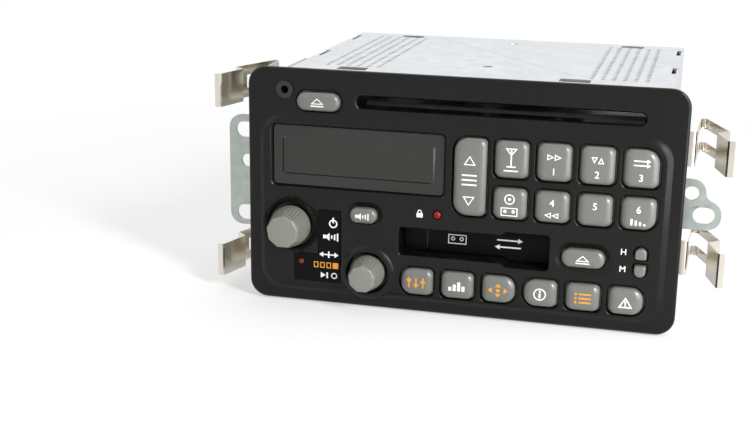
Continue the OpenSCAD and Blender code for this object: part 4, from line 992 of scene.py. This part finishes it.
class RADIO_OT_ear(bpy.types.Operator):
    """Round the right ear's upper lobe and blend it into the lower one"""

    bl_idname = "radio.ear"
    bl_label = "Right ear"

    hole_at, hole_radius, lobe_radius = (99.7, 6.2), 3.15, 6.1
    blend_at, blend_radius = (109.79, 6.52), 4.0
    corner_at, corner_size = (105.8, 4.3), (5.6, 4.2)

    def execute(self, context):
        # a hair thicker than the ear, so that no two faces lie in one plane
        front, back, hair = 17.95, 19.25, 0.02
        through = [(back + 1, 0), (front - 1, 0)]
        ear = drum("right_bracket_plate", *self.hole_at, self.lobe_radius, [(back, 0), (front, 0)])
        filling = [(back - hair, 0), (front + hair, 0)]
        corner = block("corner", *self.corner_at, *self.corner_size, SQUARE, filling)
        combine(ear, "UNION", [corner])
        combine(ear, "DIFFERENCE", [drum("blend", *self.blend_at, self.blend_radius, through)])
        combine(ear, "DIFFERENCE", [drum("hole", *self.hole_at, self.hole_radius, through)])
        combine(ear, "UNION", [self.bracket()])
        mend()
        close(30)
        weigh(ear)
        dress(ear, "right_bracket", "zinc_plated_steel")
        return {"FINISHED"}

    def bracket(self):
        """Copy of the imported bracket, with its triangles merged."""
        activate(frame["nodes"]["right_bracket"])
        bpy.ops.object.duplicate()
        mend()
        bpy.ops.object.mode_set(mode="OBJECT")
        return bpy.context.object


class RADIO_OT_legends(bpy.types.Operator):
    """Print the figures and signs on the keys, the field, the panel and the flap"""

    bl_idname = "radio.legends"
    bl_label = "Legends"

    white, orange = "white_legend_ink", "orange_legend_ink"

    # a sign is a list of marks: shape, place, width, height and, for an outline, its stroke

    def on_key(self, node, marks, ink=white):
        legend(f"{node}_sign", node, ink, *KEY_AT[node], crown(node), marks)

    def on_panel(self, name, x, z, marks, ink=white):
        legend(f"{name}_sign", "legend_panel", ink, x, z, FIELD_DEPTH, marks)

    def on_flap(self, name, x, z, marks, ink=white):
        legend(name, "tape_door", ink, x, z, DOOR_DEPTH, marks)

    def execute(self, context):
        self.presets()
        self.functions()
        self.bottom_row()
        self.field()
        self.panel()
        self.flap()
        return {"FINISHED"}

    def presets(self):
        """Figures 1 to 6, with the signs of the tape and disc functions that share their keys."""
        for number in range(1, 7):
            node = f"preset_{number}_key"
            x, z = KEY_AT[node]
            offset = -3.8 if number < 4 else 2.0
            figure(f"{node}_figure", node, self.white, str(number), x, z + offset, crown(node), 3.1)
        line = 0.4
        self.on_key("preset_1_key", [("right", x, 2.6, 3.0, 2.8, line) for x in (-1.5, 1.7)])
        self.on_key("preset_2_key", [("down", -1.4, 2.6, 2.7, 2.8, line), ("up", 1.4, 2.6, 2.7, 2.8, line)])
        self.on_key("preset_4_key", [("left", x, -3.3, 3.0, 2.6, line) for x in (-1.7, 1.5)])
        shuffle = [("box", -0.6, y, 5.6, 0.55) for y in (3.6, 1.7)]
        self.on_key("preset_3_key", shuffle + [("right", 2.9, y, 1.7, 2.0) for y in (3.6, 1.7)])
        falling = zip((-2.7, -0.9, 0.9, 2.7), (2.8, 2.2, 1.6, 1.0))
        self.on_key("preset_6_key", [("box", x, h / 2 - 4.7, 0.9, h) for x, h in falling])

    def functions(self):
        """Signs of the keys beside the display and of the eject keys."""
        aerial = [("down", 0, 3.6, 5.4, 3.4, 0.5), ("box", 0, 1.2, 0.6, 7.0)]
        self.on_key("band_key", aerial + [("box", 0, y, w, 0.6) for y, w in ((-2.8, 4.0), (-4.6, 6.2))])
        disc = [("round", 0, 2.4, 4.6, 4.6, 0.5), ("round", 0, 2.4, 1.4, 1.4)]
        reels = [("round", x, -3.0, 1.5, 1.5) for x in (-1.8, 1.8)]
        self.on_key("source_key", disc + [("box", 0, -3.2, 7.4, 3.8, 0.45)] + reels)
        ends = [("up", 0, 7.8, 5.4, 4.2, 0.45), ("down", 0, -10.4, 5.4, 4.2, 0.45)]
        self.on_key("seek_rocker", ends + [("box", 0, y, 6.6, 0.7) for y in (1.2, -0.9, -3.0)])
        eject = [("up", 0, 0.5, 6.0, 2.7, 0.4), ("box", 0, -1.7, 6.0, 0.55)]
        self.on_key("disc_eject_key", eject)
        self.on_key("tape_eject_key", eject)
        self.on_key("speed_volume_key", self.speaker(1.0))

    def speaker(self, scale):
        """Loudspeaker with three bars that grow."""
        marks = [("box", -2.7, 0, 1.1, 1.5), ("left", -1.6, 0, 2.0, 3.2)]
        marks += [("box", 0.3 + 1.2 * i, 0, 0.6, 1.4 + 0.9 * i) for i in range(3)]
        return [(shape, *(scale * size for size in sizes)) for shape, *sizes in marks]

    def bottom_row(self):
        """Signs of the keys along the bottom, some of them in orange."""
        sliders = [("box", x, 0, 0.7, 4.8) for x in (-3.2, 0, 3.2)]
        knobs = [("box", x, y, 2.1, 1.1) for x, y in ((-3.2, 1.1), (0, -1.1), (3.2, 0.5))]
        self.on_key("tone_key", sliders + knobs, self.orange)
        bars = zip((-3.0, -1.0, 1.0, 3.0), (1.8, 3.0, 4.2, 2.4))
        self.on_key("equaliser_key", [("box", x, h / 2 - 2.1, 1.4, h) for x, h in bars])
        arrows = [("up", 0, 2.4, 2.6, 1.8), ("down", 0, -2.4, 2.6, 1.8)]
        arrows += [("left", -3.6, 0, 1.9, 2.6), ("right", 3.6, 0, 1.9, 2.6), ("round", 0, 0, 1.7, 1.7)]
        self.on_key("balance_key", arrows, self.orange)
        ring = [("round", 0, 0, 5.6, 5.6, 0.55), ("box", 0, -0.6, 0.9, 2.3)]
        self.on_key("info_key", ring + [("round", 0, 1.4, 1.0, 1.0)])
        rows = [("box", 1.1, y, 5.4, 0.75) for y in (1.9, 0, -1.9)]
        rows += [("round", -2.9, y, 1.1, 1.1) for y in (1.9, 0, -1.9)]
        self.on_key("program_key", rows, self.orange)
        warning = [("up", 0, 0, 6.2, 5.0, 0.55), ("box", 0, -0.1, 0.7, 1.6), ("round", 0, -1.55, 0.7, 0.7)]
        self.on_key("traffic_key", warning)

    def field(self):
        """Lock beside the red lamp, and letters beside the clock keys."""
        lock = [("box", 0, -0.6, 2.8, 2.0), ("round", 0, 0.7, 2.0, 2.4, 0.4)]
        legend("lock_sign", "front_bezel", self.white, -16.5, -7.6, FIELD_DEPTH, lock)
        for name, letter, z in (("hour_letter", "H", -17.2), ("minute_letter", "M", -24.9)):
            figure(name, "front_bezel", self.white, letter, 73.4, z, FIELD_DEPTH, 2.7)

    def panel(self):
        """Signs beside the knobs, one of them in orange."""
        power = [("round", 0, 0, 4.0, 4.0, 0.6), ("box", 0, 1.6, 0.7, 2.6)]
        self.on_panel("power", -56.4, -15.6, power)
        self.on_panel("volume", -57.4, -21.9, self.speaker(1.15))
        tune = [("box", 0, 0, 6.4, 0.6), ("left", -3.6, 0, 1.9, 2.6), ("right", 3.6, 0, 1.9, 2.6)]
        self.on_panel("tune", -58.4, -30.4, tune + [("box", 0, 0, 0.7, 3.0)])
        choice = [("box", x, 0, 2.2, 2.8, 0.45) for x in (-4.8, -1.8, 1.2)] + [("box", 4.4, 0, 2.6, 2.8)]
        self.on_panel("select", -59.6, -35.5, choice, self.orange)
        recall = [("right", -2.6, 0, 2.4, 2.8), ("box", -0.7, 0, 0.7, 2.8)]
        self.on_panel("recall", -58.4, -40.3, recall + [("round", 2.6, 0, 2.9, 2.9, 0.5)])

    def flap(self):
        """Signs on the cassette flap, and the line where its panel ends."""
        both_ways = [("box", -0.6, 1.5, 9.6, 0.65), ("right", 5.2, 1.5, 2.2, 2.4)]
        both_ways += [("box", 0.6, -1.7, 9.6, 0.65), ("left", -5.2, -1.7, 2.2, 2.4)]
        self.on_flap("reverse_sign", 22.4, -20.9, both_ways)
        self.on_flap("flap_line", -14.7, -20.9, [("box", 0, 0, 0.35, 9.6)], "black_nylon")
        cassette = [("box", 0, 0, 8.4, 4.4, 0.4)] + [("round", x, 0.2, 1.9, 1.9, 0.4) for x in (-2.0, 2.0)]
        self.on_flap("cassette_sign", -1.0, -20.8, cassette)


class RADIO_OT_stage(bpy.types.Operator):
    """Set the floor, the soft studio light and the camera"""

    bl_idname = "radio.stage"
    bl_label = "Stage"

    # softboxes: place, width and height in metres, and power in watts
    softboxes = {
        "key": ((0.85, -0.8, 0.75), (0.16, 0.5), 14.0),
        "fill": ((-0.95, -0.5, 0.7), (0.9, 0.9), 1.5),
        "top": ((0.0, 0.3, 1.1), (1.0, 1.0), 6.0),
        "card": ((0.25, -0.22, 0.09), (0.18, 0.18), 0.4),
    }

    def execute(self, context):
        settings = context.scene.radio_stage
        clear_selection()
        for name in ("Cube", "Light", "Camera"):
            if name in bpy.data.objects:
                bpy.data.objects[name].select_set(True)
        bpy.ops.object.delete()
        bpy.ops.object.camera_add(location=settings.stand, rotation=settings.aim)
        camera = context.object
        camera.data.lens = settings.lens
        camera.data.sensor_width = 36
        context.scene.camera = camera
        clear_selection()
        # width in metres; the floor lies a hair below the radio, so that the two don't share a plane
        floor_width, hair = 8, 0.2 * MM
        bpy.ops.mesh.primitive_plane_add(size=floor_width, location=(0, 0, -hair))
        floor = context.object
        floor.name = "studio_floor"
        floor.data.materials.append(self.paper(settings.floor))
        self.lights()
        self.world(context)
        context.scene.view_settings.view_transform = "Standard"
        return {"FINISHED"}

    def paper(self, tint):
        """White studio paper: it takes the shadow near the radio, and fades to plain white away from it."""
        made = surface("matt_studio_paper", tint, 0.9)
        varied(made, tint, (0.99, 1.0), 60)
        material, _, place = made
        nodes = material.node_tree.nodes
        near = add(material, "ShaderNodeTexGradient", links={"Vector": place}, gradient_type="SPHERICAL")
        # the gradient falls from 1 at the middle to 0 at 1 m
        fade = {"From Min": 0.8, "From Max": 0.5, "To Min": 0.45, "To Max": 1.0}
        away = add(material, "ShaderNodeMapRange", fade, {"Value": near.outputs["Fac"]})
        both = {0: seen(material), 1: away.outputs["Result"]}
        faded = add(material, "ShaderNodeMath", links=both, operation="MULTIPLY")
        white = add(material, "ShaderNodeEmission", {"Color": (1, 1, 1, 1), "Strength": 1.0})
        lit = nodes["Principled BSDF"].outputs["BSDF"]
        mixed = {0: faded.outputs["Value"], 1: lit, 2: white.outputs["Emission"]}
        target = {"Shader": nodes["Material Output"].inputs["Surface"]}
        add(material, "ShaderNodeMixShader", links=mixed, into=target)
        return material

    def lights(self):
        """Key at the upper right, fill at the left, a large box above and a low card at the right."""
        target = Vector((0, 0, 0.05))
        for name, (place, size, power) in self.softboxes.items():
            clear_selection()
            bpy.ops.object.light_add(type="AREA", location=place)
            softbox = bpy.context.object
            softbox.name = f"{name}_softbox"
            softbox.data.shape = "RECTANGLE"
            softbox.data.size, softbox.data.size_y = size
            softbox.data.energy = power
            softbox.rotation_euler = (target - Vector(place)).to_track_quat("-Z", "Y").to_euler()

    def world(self, context):
        """White surround for the camera, gloss and glass, dimmer as a light."""
        world = bpy.data.worlds.new("white_surround")
        context.scene.world = world
        world.use_nodes = True
        world.node_tree.nodes.clear()
        light = add(world, "ShaderNodeBackground", {"Color": (1, 1, 1, 1), "Strength": 0.4})
        white = add(world, "ShaderNodeBackground", {"Color": (1, 1, 1, 1), "Strength": 1.0})
        mixed = {0: seen(world), 1: light.outputs["Background"], 2: white.outputs["Background"]}
        mix = add(world, "ShaderNodeMixShader", links=mixed)
        add(world, "ShaderNodeOutputWorld", links={"Surface": mix.outputs["Shader"]})


class RADIO_PT_panel(bpy.types.Panel):
    """Steps that build the radio's looks, in order"""

    bl_idname = "RADIO_PT_panel"
    bl_label = "Radio"
    bl_space_type = "VIEW_3D"
    bl_region_type = "UI"
    bl_category = "Radio"

    def draw(self, context):
        for step in STEPS:
            self.layout.operator(step.bl_idname)
        for name, group in GROUPS:
            for setting in group.__annotations__:
                self.layout.prop(getattr(context.scene, name), setting)


GROUPS = [("radio_sizes", RadioSizes), ("radio_colours", RadioColours), ("radio_stage", RadioStage)]
STEPS = [
    RADIO_OT_stage,
    RADIO_OT_finishes,
    RADIO_OT_bezel,
    RADIO_OT_keys,
    RADIO_OT_knobs,
    RADIO_OT_display,
    RADIO_OT_ear,
    RADIO_OT_legends,
]


def register():
    for name, group in GROUPS:
        bpy.utils.register_class(group)
        setattr(bpy.types.Scene, name, PointerProperty(type=group))
    for step in (*STEPS, RADIO_PT_panel):
        bpy.utils.register_class(step)


def unregister():
    for step in reversed((*STEPS, RADIO_PT_panel)):
        bpy.utils.unregister_class(step)
    for name, group in reversed(GROUPS):
        delattr(bpy.types.Scene, name)
        bpy.utils.unregister_class(group)


def main():
    register()
    for step in STEPS:
        family, name = step.bl_idname.split(".")
        getattr(getattr(bpy.ops, family), name)()
    clear_selection()


if __name__ == "__main__":
    main()
